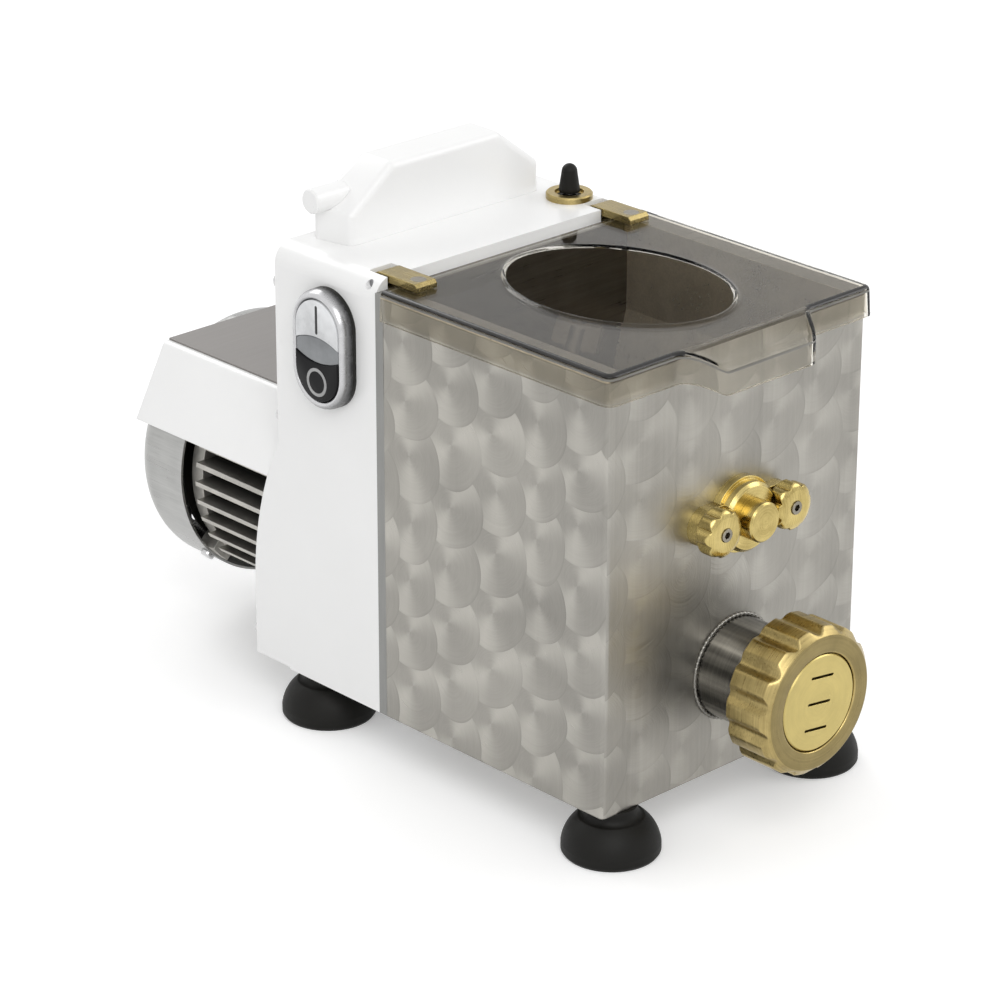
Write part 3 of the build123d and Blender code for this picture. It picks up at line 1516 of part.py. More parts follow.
# ---------------------------------------------------------------- files
pieces = {
    "steel_casing": steel_casing, "rear_plate": rear_plate, "mixing_tank": mixing_tank,
    "extrusion_barrel": extrusion_barrel, "neck_weld": neck_weld, "front_bush": front_bush,
    "pivot_pin": pivot_pin, "bush_studs": bush_studs, "knob_left": knob_left, "knob_right": knob_right,
    "ring_nut": ring_nut, "die": die, "lid": lid, "hinge_bracket_left": hinge_bracket_left,
    "hinge_bracket_right": hinge_bracket_right, "bracket_screws": bracket_screws, "hinge_pins": hinge_pins,
    "gearbox_casting": gearbox_casting, "rear_cover": rear_cover, "electrics_cover": electrics_cover,
    "side_plug": side_plug, "bearing_plate": bearing_plate, "shaft_bearings": shaft_bearings,
    "shaft_seals": shaft_seals, "auger": auger, "auger_wheel": auger_wheel, "mixer": mixer,
    "mixer_drive_shaft": mixer_drive_shaft, "mixer_wheel": mixer_wheel, "first_wheel": first_wheel,
    "first_countershaft": first_countershaft, "second_wheel": second_wheel,
    "second_countershaft": second_countershaft, "motor_pinion": motor_pinion, "rotor": rotor,
    "stator_core": stator_core, "stator_windings": stator_windings, "motor_frame": motor_frame,
    "front_end_shield": front_end_shield, "rear_end_shield": rear_end_shield, "cooling_fan": cooling_fan,
    "fan_cowl": fan_cowl, "motor_cover": motor_cover, "cover_top_plate": cover_top_plate,
    "button_base": button_base, "button_bezel": button_bezel, "start_button": start_button,
    "stop_button": stop_button, "button_lens": button_lens, "contact_block": contact_block,
    "toggle_nut": toggle_nut, "toggle_boot": toggle_boot, "toggle_switch": toggle_switch,
    "toggle_lever": toggle_lever, "rubber_feet": rubber_feet, "foot_screws": foot_screws,
    "capacitor": capacitor, "terminal_block": terminal_block, "cable_gland": cable_gland,
    "housing_screws": housing_screws,
}

os.makedirs("parts", exist_ok=True)
for name, piece in pieces.items():
    piece.part.label = name
    export_step(piece.part, "parts/" + name + ".step")

print("countershafts at", [round(value, 3) for value in first_axis + second_axis])
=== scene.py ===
from math import atan2, cos, pi, radians, sin

import bmesh
import bpy
from bpy.props import FloatProperty, FloatVectorProperty, IntProperty, PointerProperty
from mathutils import Matrix, Vector


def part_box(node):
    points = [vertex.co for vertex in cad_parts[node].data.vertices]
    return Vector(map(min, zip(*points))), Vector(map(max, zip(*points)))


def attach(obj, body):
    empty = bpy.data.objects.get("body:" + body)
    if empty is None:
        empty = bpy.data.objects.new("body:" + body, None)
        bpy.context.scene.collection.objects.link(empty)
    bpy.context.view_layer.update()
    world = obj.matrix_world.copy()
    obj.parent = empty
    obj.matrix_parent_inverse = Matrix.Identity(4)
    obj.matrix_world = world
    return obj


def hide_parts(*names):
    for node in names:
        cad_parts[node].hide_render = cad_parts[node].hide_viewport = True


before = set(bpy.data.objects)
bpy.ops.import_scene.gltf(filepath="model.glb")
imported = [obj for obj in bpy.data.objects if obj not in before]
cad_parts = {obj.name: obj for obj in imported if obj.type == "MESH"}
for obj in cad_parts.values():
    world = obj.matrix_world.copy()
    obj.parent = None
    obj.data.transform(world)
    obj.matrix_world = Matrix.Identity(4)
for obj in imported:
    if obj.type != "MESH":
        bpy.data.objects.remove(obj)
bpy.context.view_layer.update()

bl_info = {
    "name": "Pasta Extruder Looks",
    "version": (1, 0, 0),
    "blender": (4, 5, 0),
    "location": "View3D > Sidebar > Extruder",
    "description": "Builds the finishes, the fine pieces and the studio of a countertop pasta extruder",
    "category": "Object",
}


# ---- kinds of setting
def size_setting(name, description, default):
    """Length in metres."""
    return FloatProperty(name=name, description=description, default=default, unit="LENGTH",
                         subtype="DISTANCE")


def colour_setting(name, description, default):
    return FloatVectorProperty(name=name, description=description, default=default, subtype="COLOR")


# ---- node wiring
class Wiring:
    """Adds nodes to one tree and hands back their output sockets."""

    def __init__(self, tree):
        self.tree = tree

    def put(self, kind, inputs=None, output=0, **settings):
        count = len(self.tree.nodes)
        made = self.tree.nodes.new(kind)
        made.location = (240 * (count % 9) - 2400, -280 * (count // 9))
        for name, value in settings.items():
            setattr(made, name, value)
        for key, value in (inputs or {}).items():
            if isinstance(value, bpy.types.NodeSocket):
                self.tree.links.new(value, made.inputs[key])
            else:
                made.inputs[key].default_value = value
        return made.outputs[output]

    def math(self, operation, *values, clamp=False):
        return self.put("ShaderNodeMath", dict(enumerate(values)), operation=operation, use_clamp=clamp)

    def times(self, *values, **how):
        return self.math("MULTIPLY", *values, **how)

    def plus(self, *values, **how):
        return self.math("ADD", *values, **how)

    def minus(self, *values, **how):
        return self.math("SUBTRACT", *values, **how)

    def over(self, *values, **how):
        return self.math("DIVIDE", *values, **how)

    def length(self, *sides):
        """Slanting length over two square sides."""
        return self.math("SQRT", self.plus(*(self.math("POWER", side, 2.0) for side in sides)))

    def blend(self, first, share, second, rest):
        """Sum of two values, each times its weight."""
        return self.plus(self.times(first, share), self.times(second, rest))

    def axis(self, vector, number):
        return self.put("ShaderNodeSeparateXYZ", {0: vector}, number)

    def facing(self, number):
        """How far the surface looks along an axis."""
        return self.axis(self.put("ShaderNodeTexCoord", output="Normal"), number)

    def point(self, *values):
        return self.put("ShaderNodeCombineXYZ", dict(enumerate(values)))

    def link(self, socket, target):
        self.tree.links.new(socket, target)

    def vector(self, operation, *values, output=0):
        return self.put("ShaderNodeVectorMath", dict(enumerate(values)), output, operation=operation)

    def value_between(self, share, low, high):
        return self.put("ShaderNodeMix", {0: share, 2: low, 3: high}, 0, data_type="FLOAT")

    def colour_between(self, share, low, high):
        return self.put("ShaderNodeMix", {0: share, 6: low, 7: high}, 2, data_type="RGBA")

    def spread(self, value, low, high, new_low, new_high):
        return self.put("ShaderNodeMapRange", {0: value, 1: low, 2: high, 3: new_low, 4: new_high})

    def noise(self, vector, scale, detail=3.0, roughness=0.5):
        inputs = {"Vector": vector, "Scale": scale, "Detail": detail, "Roughness": roughness}
        return self.put("ShaderNodeTexNoise", inputs, "Fac")

    def group(self, tree, inputs, output):
        return self.put("ShaderNodeGroup", inputs, output, node_tree=tree)

    def place(self):
        return self.put("ShaderNodeTexCoord", output="Object")


def preset(node, values):
    """Give sockets of a node their values, by label."""
    for label, value in values.items():
        node.inputs[label].default_value = value


def new_tree(name, kind, inputs, outputs):
    """Node tree with named sockets; returns its wiring, what comes in and what goes out."""
    tree = bpy.data.node_groups.new(name, kind)
    for label, socket, value in inputs:
        made = tree.interface.new_socket(label, in_out="INPUT", socket_type=socket)
        if value is not None:
            made.default_value = value
    for label, socket in outputs:
        tree.interface.new_socket(label, in_out="OUTPUT", socket_type=socket)
    coming, going = tree.nodes.new("NodeGroupInput"), tree.nodes.new("NodeGroupOutput")
    coming.location, going.location = (-2700, 0), (0, 0)
    return Wiring(tree), coming.outputs, going.inputs


FLOAT, VECTOR, WHOLE = "NodeSocketFloat", "NodeSocketVector", "NodeSocketInt"
GEOMETRY, MATERIAL = "NodeSocketGeometry", "NodeSocketMaterial"


# ---- shared surface effects
def uneven_tone():
    """Slow, cloudy change of tone over a surface."""
    w, given, out = new_tree("uneven_tone", "ShaderNodeTree",
                             [("Place", VECTOR, None), ("Size", FLOAT, 0.03), ("Contrast", FLOAT, 1.0)],
                             [("Tone", FLOAT)])
    broad = w.noise(given["Place"], w.over(1.0, given["Size"]), 4.0, 0.55)
    lifted = w.spread(broad, 0.3, 0.7, -0.5, 0.5)
    w.link(w.math("MULTIPLY_ADD", lifted, given["Contrast"], 0.5, clamp=True), out["Tone"])
    return w.tree


def drawn_lines():
    """Fine straight lines left by a brush or a rolling mill; Stretch sets their direction."""
    w, given, out = new_tree("drawn_lines", "ShaderNodeTree",
                             [("Place", VECTOR, None), ("Stretch", VECTOR, (60.0, 60.0, 2500.0))],
                             [("Lines", FLOAT)])
    stretched = w.vector("MULTIPLY", given["Place"], given["Stretch"])
    fine = w.noise(stretched, 1.0, 2.0, 0.6)
    broad = w.noise(w.vector("MULTIPLY", stretched, (0.2, 0.2, 0.2)), 1.0, 1.0, 0.5)
    w.link(w.spread(w.blend(fine, 0.7, broad, 0.3), 0.32, 0.68, 0.0, 1.0), out["Lines"])
    return w.tree


def turned_rings():
    """Fine rings left by a lathe about an axis along Y."""
    w, given, out = new_tree("turned_rings", "ShaderNodeTree",
                             [("Place", VECTOR, None), ("Centre", VECTOR, (0.0, 0.0, 0.0)),
                              ("Pitch", FLOAT, 0.0006)],
                             [("Rings", FLOAT), ("Angle", FLOAT)])
    x, y, z = (w.axis(w.vector("SUBTRACT", given["Place"], given["Centre"]), i) for i in range(3))
    radius = w.length(x, z)
    angle = w.math("ARCTAN2", z, x)
    spun = w.point(w.over(radius, given["Pitch"]), w.over(y, given["Pitch"]),
                   w.times(w.math("SINE", angle), 1.2))
    w.link(w.spread(w.noise(spun, 1.0, 2.0, 0.6), 0.3, 0.7, 0.0, 1.0), out["Rings"])
    w.link(angle, out["Angle"])
    return w.tree


def spot_polish():
    """Round polishing spots in staggered columns; the spot above and to the left lies on top. The Shade
    output is partly painted reflection: two opposite light wedges in each spot, turned by Bright Angle.
    """
    w, given, out = new_tree(
        "spot_polish", "ShaderNodeTree",
        [("Across", FLOAT, 0.0), ("Up", FLOAT, 0.0), ("Pitch Across", FLOAT, 0.027),
         ("Pitch Up", FLOAT, 0.028), ("Radius", FLOAT, 0.0195), ("Bright Angle", FLOAT, 1.1)],
        [("Shade", FLOAT), ("Rim", FLOAT), ("Strokes", FLOAT)])
    across, up, radius = given["Across"], given["Up"], given["Radius"]
    first = w.math("FLOOR", w.over(across, given["Pitch Across"]))

    def spot(column):
        aside = w.minus(across, w.times(column, given["Pitch Across"]))
        stagger = w.times(w.math("FLOORED_MODULO", column, 2.0),
                         w.times(given["Pitch Up"], 0.5))
        room = w.minus(w.math("POWER", radius, 2.0), w.math("POWER", aside, 2.0))
        chord = w.math("SQRT", w.math("MAXIMUM", room, 0.0))
        row = w.math("FLOOR", w.over(w.minus(w.plus(up, chord), stagger),
                                     given["Pitch Up"]))
        above = w.minus(up, w.plus(w.times(row, given["Pitch Up"]), stagger))
        return column, row, aside, above, w.length(aside, above)

    left, right = spot(first), spot(w.plus(first, 1.0))
    on_left = w.math("LESS_THAN", left[4], radius)
    column, row, aside, above, reach = (w.value_between(on_left, b, a) for a, b in zip(left, right))
    chance = w.put("ShaderNodeTexWhiteNoise", {"Vector": w.point(column, row)}, "Value",
                   noise_dimensions="2D")
    # Painted reflection: two opposite light wedges and two dark ones round each spot's centre, each spot
    # turned a little at random.
    angle = w.math("ARCTAN2", above, aside)
    turned = w.plus(w.minus(angle, given["Bright Angle"]),
                    w.times(w.minus(chance, 0.5), 1.1))
    painted_bow_tie_reflection = w.math("MULTIPLY_ADD", w.math("COSINE", w.times(turned, 2.0)), 0.5, 0.5)
    share = w.over(reach, radius)
    shade = w.times(w.math("POWER", painted_bow_tie_reflection, 2.2), w.spread(share, 0.0, 0.35, 0.35, 1.0))
    shade = w.blend(shade, 0.8, chance, 0.2)
    rim = w.spread(share, 0.9, 1.0, 0.0, 1.0)
    circles = w.point(w.times(reach, 1500.0), w.times(w.math("SINE", angle), 1.5), w.times(chance, 60.0))
    w.link(shade, out["Shade"])
    w.link(w.math("POWER", rim, 3.0), out["Rim"])
    w.link(w.spread(w.noise(circles, 1.0, 3.0, 0.6), 0.3, 0.7, -0.5, 0.5), out["Strokes"])
    return w.tree


def edge_wear_and_highlight():
    """Rounds a sharp edge in the shading and marks how near the edge is; the mark is used to pale edges
    in the colour, partly as wear and partly as a painted highlight.
    """
    w, given, out = new_tree("edge_wear_and_highlight", "ShaderNodeTree", [("Reach", FLOAT, 0.0006)],
                             [("Soft Normal", VECTOR), ("Edge", FLOAT)])
    soft = w.put("ShaderNodeBevel", {"Radius": given["Reach"]}, samples=6)
    plain = w.put("ShaderNodeNewGeometry", output="Normal")
    turned = w.minus(1.0, w.vector("DOT_PRODUCT", soft, plain, output="Value"))
    w.link(soft, out["Soft Normal"])
    w.link(w.times(turned, 4.0, clamp=True), out["Edge"])
    return w.tree


# ---- finishes
AUGER, MIXER, MOTOR = (0.0, 0.0, 0.072), (0.0, 0.0, 0.146), (0.0, 0.0, 0.085)


def toned(colour, factor):
    """Colour multiplied by a factor."""
    return tuple(min(1.0, part * factor) for part in colour)


def sheet(colour, factor):
    """Colour multiplied by a factor, with full alpha."""
    return (*toned(colour, factor), 1.0)


class Finish:
    """One material with its shader, its wiring and the effects that it shares with the others."""

    effects = {}

    def __init__(self, name, metallic=0.0, reach=0.0004, **constants):
        self.material = bpy.data.materials.new(name)
        self.material.use_nodes = True
        self.shader = self.material.node_tree.nodes["Principled BSDF"]
        self.w = Wiring(self.material.node_tree)
        preset(self.shader, {label.replace("_", " "): value for label, value in constants.items()})
        preset(self.shader, {"Metallic": metallic})
        self.place = self.w.place()
        self.normal = self.edge = None
        if reach:
            node = self.w.group(self.effects["edge_wear_and_highlight"], {"Reach": reach}, "Soft Normal").node
            self.normal, self.edge = node.outputs["Soft Normal"], node.outputs["Edge"]

    def effect(self, name, output, **inputs):
        """One of the shared effects, laid over this finish."""
        return self.w.group(self.effects[name], {"Place": self.place, **inputs}, output)

    def tone(self, size, contrast=1.0):
        return self.effect("uneven_tone", "Tone", Size=size, Contrast=contrast)

    def lines(self, stretch):
        return self.effect("drawn_lines", "Lines", Stretch=stretch)

    def rings(self, centre, pitch=0.0006):
        return self.effect("turned_rings", "Rings", Centre=centre, Pitch=pitch)

    def shades(self, share, colour, low, high):
        """Colour between two tones of itself."""
        return self.w.colour_between(share, sheet(colour, low), sheet(colour, high))

    def colour(self, socket):
        self.w.link(socket, self.shader.inputs["Base Color"])

    def edged(self, base, share, colour):
        """Base colour, with a paler one along edges: partly wear, partly a painted highlight."""
        self.colour(self.w.colour_between(self.w.times(self.edge, share), base, colour))

    def roughness(self, base, *terms):
        """Roughness from a base and terms (value, weight) that are added to it."""
        for value, weight in reversed(terms):
            base = self.w.math("MULTIPLY_ADD", value, weight, base)
        self.w.link(base, self.shader.inputs["Roughness"])

    def bump(self, height, strength, distance):
        inputs = {"Height": height, "Strength": strength, "Distance": distance}
        if self.normal is not None:
            inputs["Normal"] = self.normal
        self.w.link(self.w.put("ShaderNodeBump", inputs, "Normal"), self.shader.inputs["Normal"])


def engine_turned(name, colours):
    """Steel sheet polished in overlapping spots, with a painted reflection in each spot that is stronger
    on the sides than on the front.
    """
    f = Finish(name, 1.0, 0.0008)
    w = f.w
    wobble = w.noise(f.place, 22.0, 2.0)
    slow = w.put("ShaderNodeTexNoise", {"Vector": f.place, "Scale": 14.0, "Detail": 1.0}, "Color")
    drift = w.vector("ADD", f.place, w.vector(
        "MULTIPLY", w.vector("SUBTRACT", slow, (0.5, 0.5, 0.5)), (0.016, 0.016, 0.016)))
    x, y, z = (w.axis(drift, i) for i in range(3))
    on_side = w.math("GREATER_THAN", w.math("ABSOLUTE", w.facing(0)), 0.6)
    across = w.value_between(on_side, x, w.times(y, -1.0))
    spots = w.group(f.effects["spot_polish"], {"Across": w.plus(across, 0.006), "Up": z}, "Shade").node
    shade, rim, strokes = (spots.outputs[label] for label in ("Shade", "Rim", "Strokes"))
    # Strength of the painted reflection of the spots: more on the sides than on the front.
    strength = w.value_between(on_side, 0.36, 0.66)
    lift = w.times(w.minus(shade, 0.35), strength)
    lift = w.plus(lift, w.times(strokes, 0.13))
    lift = w.plus(lift, w.times(w.minus(wobble, 0.5), 0.7))
    lift = w.minus(lift, w.times(rim, 0.15))
    brush = w.minus(f.lines((420.0, 420.0, 9.0)), 0.5)
    lift = w.plus(lift, w.times(brush, w.value_between(on_side, 0.16, 0.06)))
    share = w.plus(lift, 0.42, clamp=True)
    f.colour(f.shades(share, colours.steel, 0.70, 1.32))
    f.roughness(w.value_between(on_side, 0.44, 0.35), (strokes, 0.08), (shade, -0.05))
    f.bump(w.plus(strokes, w.times(rim, 1.2)), 0.25, 0.00012)
    return f.material


def brushed(name, colour, stretch, roughness=0.3, contrast=0.25, metallic=1.0, reach=0.0004):
    """Metal with straight lines, a cloudy tone and lighter edges, partly wear and partly a painted
    highlight.
    """
    f = Finish(name, metallic, reach)
    w = f.w
    lines, tone = f.lines(stretch), f.tone(0.02, 0.9)
    base = f.shades(w.blend(lines, 0.55, tone, 0.45), colour, 1 - contrast, 1 + contrast)
    f.edged(base, 0.5, sheet(colour, 1.5))
    f.roughness(roughness - 0.1, (lines, 0.14), (tone, 0.06))
    f.bump(lines, 0.2, 0.00006)
    return f.material


def turned(name, colour, centre, roughness=0.24, contrast=0.2, pitch=0.0006, tarnish=None, reach=0.0004,
           strength=0.22, faced=1.0):
    """Metal off a lathe: rings about its axis, edges paler from handling wear and a painted highlight,
    and a slow tarnish.
    """
    f = Finish(name, 1.0, reach)
    w = f.w
    rings, tone, speck = f.rings(centre, pitch), f.tone(0.012, 1.1), f.tone(0.0025, 1.0)
    share = w.blend(rings, 0.45, tone, 0.55)
    base = w.colour_between(share, sheet(tarnish or colour, 1 - contrast), sheet(colour, 1 + contrast))
    if faced < 1:
        flat = w.spread(w.math("ABSOLUTE", w.facing(1)), 0.85, 0.97, 0.0, 1.0)
        end = f.shades(share, colour, faced * (1 - contrast), faced * (1 + contrast))
        base = w.colour_between(flat, base, end)
    f.edged(base, 0.6, sheet(colour, 1.55))
    f.roughness(roughness - 0.09, (rings, 0.10), (speck, 0.08))
    f.bump(w.plus(rings, w.times(speck, 0.3)), strength, 0.00006)
    return f.material


def tank_sheet(name, colour):
    """Folded sheet with painted light on its two side walls and painted shade across the rest."""
    f = Finish(name, 0.8, 0.0004)
    w = f.w
    lines, tone = f.lines((40.0, 900.0, 900.0)), f.tone(0.02, 0.9)
    # Painted light and shade: faces looking along X get the light tone, the others a dark one.
    lit_walls = w.spread(w.math("ABSOLUTE", w.facing(0)), 0.3, 0.8, 0.0, 1.0)
    share = w.blend(lines, 0.5, tone, 0.5)
    dim, bright = f.shades(share, colour, 0.14, 0.26), f.shades(share, colour, 0.8, 1.2)
    f.colour(w.colour_between(lit_walls, dim, bright))
    f.roughness(0.24, (lines, 0.12), (tone, 0.06))
    f.bump(lines, 0.2, 0.00006)
    return f.material


def polished_neck(name, colour):
    """Mirror-turned tube with lengthwise light and dark streaks round its axis, a painted reflection."""
    f = Finish(name, 1.0, 0.0004)
    w = f.w
    rings = f.rings(AUGER, 0.0008)
    angle = rings.node.outputs["Angle"]
    # Painted reflection: bands of light and dark that follow the angle round the neck's axis.
    around = w.point(*(w.times(w.math(wave, angle), 2.1) for wave in ("SINE", "COSINE")))
    painted_reflection_streak = w.spread(w.noise(around, 1.0, 2.5, 0.6), 0.40, 0.60, 0.0, 1.0)
    f.colour(f.shades(w.blend(painted_reflection_streak, 0.85, rings, 0.15), colour, 0.16, 1.45))
    f.roughness(0.14, (rings, 0.06), (painted_reflection_streak, 0.06))
    f.bump(rings, 0.15, 0.00005)
    return f.material


def shaded_rim(name, colour, span):
    """Satin rim with a painted highlight on its crest and painted shade down its side and below; the span
    is its depth along X.
    """
    f = Finish(name, 1.0, 0.0003)
    w = f.w
    tone, fine = f.tone(0.005, 1.0), w.noise(f.place, 1500.0, 2.0)
    aside = w.math("ABSOLUTE", w.axis(f.place, 0))
    # Painted highlight on the crest, fading to painted shade outwards and on faces that look down.
    crest = w.math("POWER", w.spread(aside, *span, 0.0, 1.0), 1.3)
    share = w.times(crest, w.spread(w.facing(2), -0.8, 0.3, 0.35, 1.0))
    f.colour(w.colour_between(w.times(tone, 0.2), f.shades(share, colour, 0.06, 1.0), sheet(colour, 0.5)))
    f.roughness(0.2, (tone, 0.08), (fine, 0.05))
    f.bump(fine, 0.05, 0.00004)
    return f.material


def enamel(name, colour, roughness=0.3, peel=0.0016, reach=0.0005):
    """Smooth sprayed coat with a faint orange peel and slightly uneven gloss."""
    f = Finish(name, 0.0, reach, Coat_Weight=0.25, Coat_Roughness=0.12)
    tone, fine = f.tone(0.06, 0.8), f.w.noise(f.place, 1.0 / peel, 2.0)
    base = f.shades(tone, colour, 0.975, 1.01)
    if reach:
        f.edged(base, 0.4, sheet(colour, 1.04))
    else:
        f.colour(base)
    f.roughness(roughness - 0.07, (tone, 0.08), (fine, 0.06))
    f.bump(fine, 0.06, 0.0002)
    return f.material


def moulded(name, colour, roughness=0.4, grain=0.0007, strength=0.12, wear_and_highlight=1.6, reach=0.0004, shine=0.3):
    """Moulded plastic or rubber with a fine grain and paler edges, partly rubbed and partly a painted
    highlight.
    """
    f = Finish(name, 0.0, reach, Specular_IOR_Level=shine)
    fine, tone = f.w.noise(f.place, 1.0 / grain, 3.0, 0.6), f.tone(0.014)
    f.edged(f.shades(tone, colour, 0.82, 1.18), 0.55, sheet(colour, wear_and_highlight))
    f.roughness(roughness - 0.11, (tone, 0.12), (fine, 0.10))
    f.bump(fine, strength, 0.00015)
    return f.material


def cast(name, colour, roughness=0.5, metallic=0.85, core=0.0):
    """Die-cast metal with a fine sandy skin and darker hollows, with painted shade inside a core radius
    about the motor axis.
    """
    f = Finish(name, metallic, 0.0006)
    w = f.w
    sand, tone = w.noise(f.place, 1300.0, 3.0, 0.65), f.tone(0.009, 1.2)
    hollow = w.put("ShaderNodeTexVoronoi", {"Vector": f.place, "Scale": 420.0}, "Distance")
    base = f.shades(w.blend(sand, 0.5, tone, 0.5), colour, 0.7, 1.2)
    if core:
        # Painted shade: darker inside the core radius, where the gaps between the fins lie in shade.
        from_axis = w.length(*(w.axis(w.vector("SUBTRACT", f.place, MOTOR), i) for i in (0, 2)))
        unshaded_share = w.spread(from_axis, core, core + 0.009, 0.0, 1.0)
        base = w.colour_between(unshaded_share, sheet(colour, 0.2), base)
    f.edged(base, 0.7, sheet(colour, 1.7))
    f.roughness(roughness - 0.12, (sand, 0.16), (tone, 0.08))
    f.bump(w.plus(sand, w.times(hollow, 0.6)), 0.35, 0.0002)
    return f.material


def smoky_clear(name, colours):
    """Tinted clear sheet with faint polishing haze; lamps reach what lies under it."""
    f = Finish(name, 0.0, 0.0, Transmission_Weight=1.0, IOR=1.2, Roughness=0.03)
    w = f.w
    haze, fine = f.tone(0.03), w.noise(f.place, 900.0, 2.0)
    f.colour(f.shades(haze, colours.lid, 0.94, 1.04))
    f.roughness(0.008, (haze, 0.03), (fine, 0.02))
    f.bump(f.tone(0.035), 0.12, 0.0006)
    through = w.put("ShaderNodeBsdfTransparent", {"Color": sheet(colours.lid, 1.08)})
    shadow = w.put("ShaderNodeLightPath", output="Is Shadow Ray")
    mix = w.put("ShaderNodeMixShader", {0: shadow, 1: f.shader.outputs[0], 2: through})
    w.link(mix, w.tree.nodes["Material Output"].inputs["Surface"])
    return f.material


class FinishSettings(bpy.types.PropertyGroup):
    """Colours of the finishes, as they show under plain light."""

    steel: colour_setting("Steel", "Polished sheet steel", (0.355, 0.342, 0.312))
    enamel: colour_setting("Enamel", "White enamel of the casting and covers", (0.90, 0.90, 0.895))
    brass: colour_setting("Brass", "Turned brass of the nut and straps", (0.40, 0.315, 0.135))
    die: colour_setting("Die bronze", "Faced bronze of the die", (0.53, 0.43, 0.165))
    lid: colour_setting("Lid tint", "Tint of the clear lid", (0.80, 0.775, 0.715))
    aluminium: colour_setting("Cast aluminium", "Motor frame and end shields", (0.50, 0.485, 0.45))
    black: colour_setting("Black", "Rubber and black mouldings", (0.006, 0.0057, 0.0045))


def make_finishes(colours):
    """Every finish, by name."""
    Finish.effects = {make.__name__: make() for make in
                      (uneven_tone, drawn_lines, turned_rings, spot_polish, edge_wear_and_highlight)}
    steel, brass, black = colours.steel, colours.brass, colours.black
    rows = (
        (engine_turned, "spotted_sheet", colours),
        (tank_sheet, "tank_steel", (0.56, 0.50, 0.41)),
        (polished_neck, "neck_steel", toned(steel, 0.75)),
        (turned, "weld_steel", toned(steel, 0.62), AUGER, 0.3, 0.5),
        (brushed, "shaft_steel", toned(steel, 1.1), (900.0, 60.0, 900.0), 0.26),
        (brushed, "paddle_steel", (0.13, 0.115, 0.095), (300.0, 60.0, 300.0), 0.45, 0.2, 0.8),
        (brushed, "gear_steel", (0.30, 0.30, 0.31), (700.0, 60.0, 700.0), 0.34),
        (brushed, "plate_grey", (0.27, 0.27, 0.26), (500.0, 500.0, 30.0), 0.42, 0.12, 0.4),
        (brushed, "top_steel", (0.245, 0.232, 0.222), (40.0, 2200.0, 500.0), 0.42, 0.07, 0.7),
        (brushed, "cowl_steel", (0.40, 0.40, 0.39), (300.0, 40.0, 900.0), 0.32, 0.22),
        (enamel, "white_enamel", colours.enamel),
        (enamel, "white_casting", colours.enamel, 0.32, 0.0022, 0.0),
        (turned, "satin_brass", toned(brass, 1.15), AUGER, 0.32, 0.22, 0.0007, (0.33, 0.25, 0.10),
         0.0004, 0.22, 0.56),
        (turned, "bright_brass", (0.56, 0.45, 0.18), MIXER, 0.24, 0.2, 0.0006, (0.42, 0.32, 0.11)),
        (brushed, "strap_brass", toned(brass, 0.83), (1200.0, 90.0, 1200.0), 0.26, 0.25),
        (turned, "die_bronze", colours.die, AUGER, 0.34, 0.10, 0.0009, None, 0.0003),
        (turned, "oiled_bronze", (0.33, 0.19, 0.07), MIXER, 0.36),
        (turned, "chrome", (0.62, 0.62, 0.62), MIXER, 0.14, 0.1),
        # Painted highlight for the bend of the lid.
        (moulded, "lit_edge", (0.17, 0.165, 0.15), 0.14, 0.002, 0.05, 1.1, 0.0002, 0.5),
        # The dark tone of this finish is painted shade, standing in for the dark hollows of the stud
        # ends.
        (turned, "stud_steel", (0.24, 0.22, 0.18), MIXER, 0.22, 0.3),
        (smoky_clear, "smoky_clear", colours),
        (cast, "cast_aluminium", colours.aluminium),
        (cast, "finned_aluminium", colours.aluminium, 0.46, 0.85, 0.052),
        (brushed, "can_aluminium", (0.52, 0.52, 0.53), (40.0, 1500.0, 1500.0), 0.3),
        (turned, "copper", (0.50, 0.20, 0.08), MOTOR, 0.34, 0.3, 0.0011),
        (shaded_rim, "titanium_grey", (0.66, 0.66, 0.67), (0.0826, 0.0876)),
        (moulded, "light_button", (0.74, 0.75, 0.76), 0.3, 0.0005, 0.05, 1.1, 0.0004),
        (moulded, "grey_lens", (0.26, 0.27, 0.28), 0.22, 0.0006, 0.04, 1.3, 0.0003),
        (moulded, "black_button", (0.006, 0.006, 0.007), 0.3, 0.0005, 0.05, 4.0, 0.0004, 0.14),
        (moulded, "mark_dark", (0.03, 0.03, 0.03), 0.4),
        (moulded, "mark_light", (0.36, 0.36, 0.36), 0.4, 0.0007, 0.12, 1.1),
        (moulded, "black_rubber", black, 0.55, 0.0009, 0.25, 2.4, 0.0008, 0.22),
        # Painted dark line for the bend of the lid, standing in for shade.
        (moulded, "smoked_edge", (0.012, 0.011, 0.010), 0.16, 0.002, 0.05, 1.2, 0.0002, 0.4),
        (moulded, "black_moulding", toned(black, 1.4), 0.4, 0.0006, 0.14, 2.2),
    )
    return {name: make(name, *values) for make, name, *values in rows}


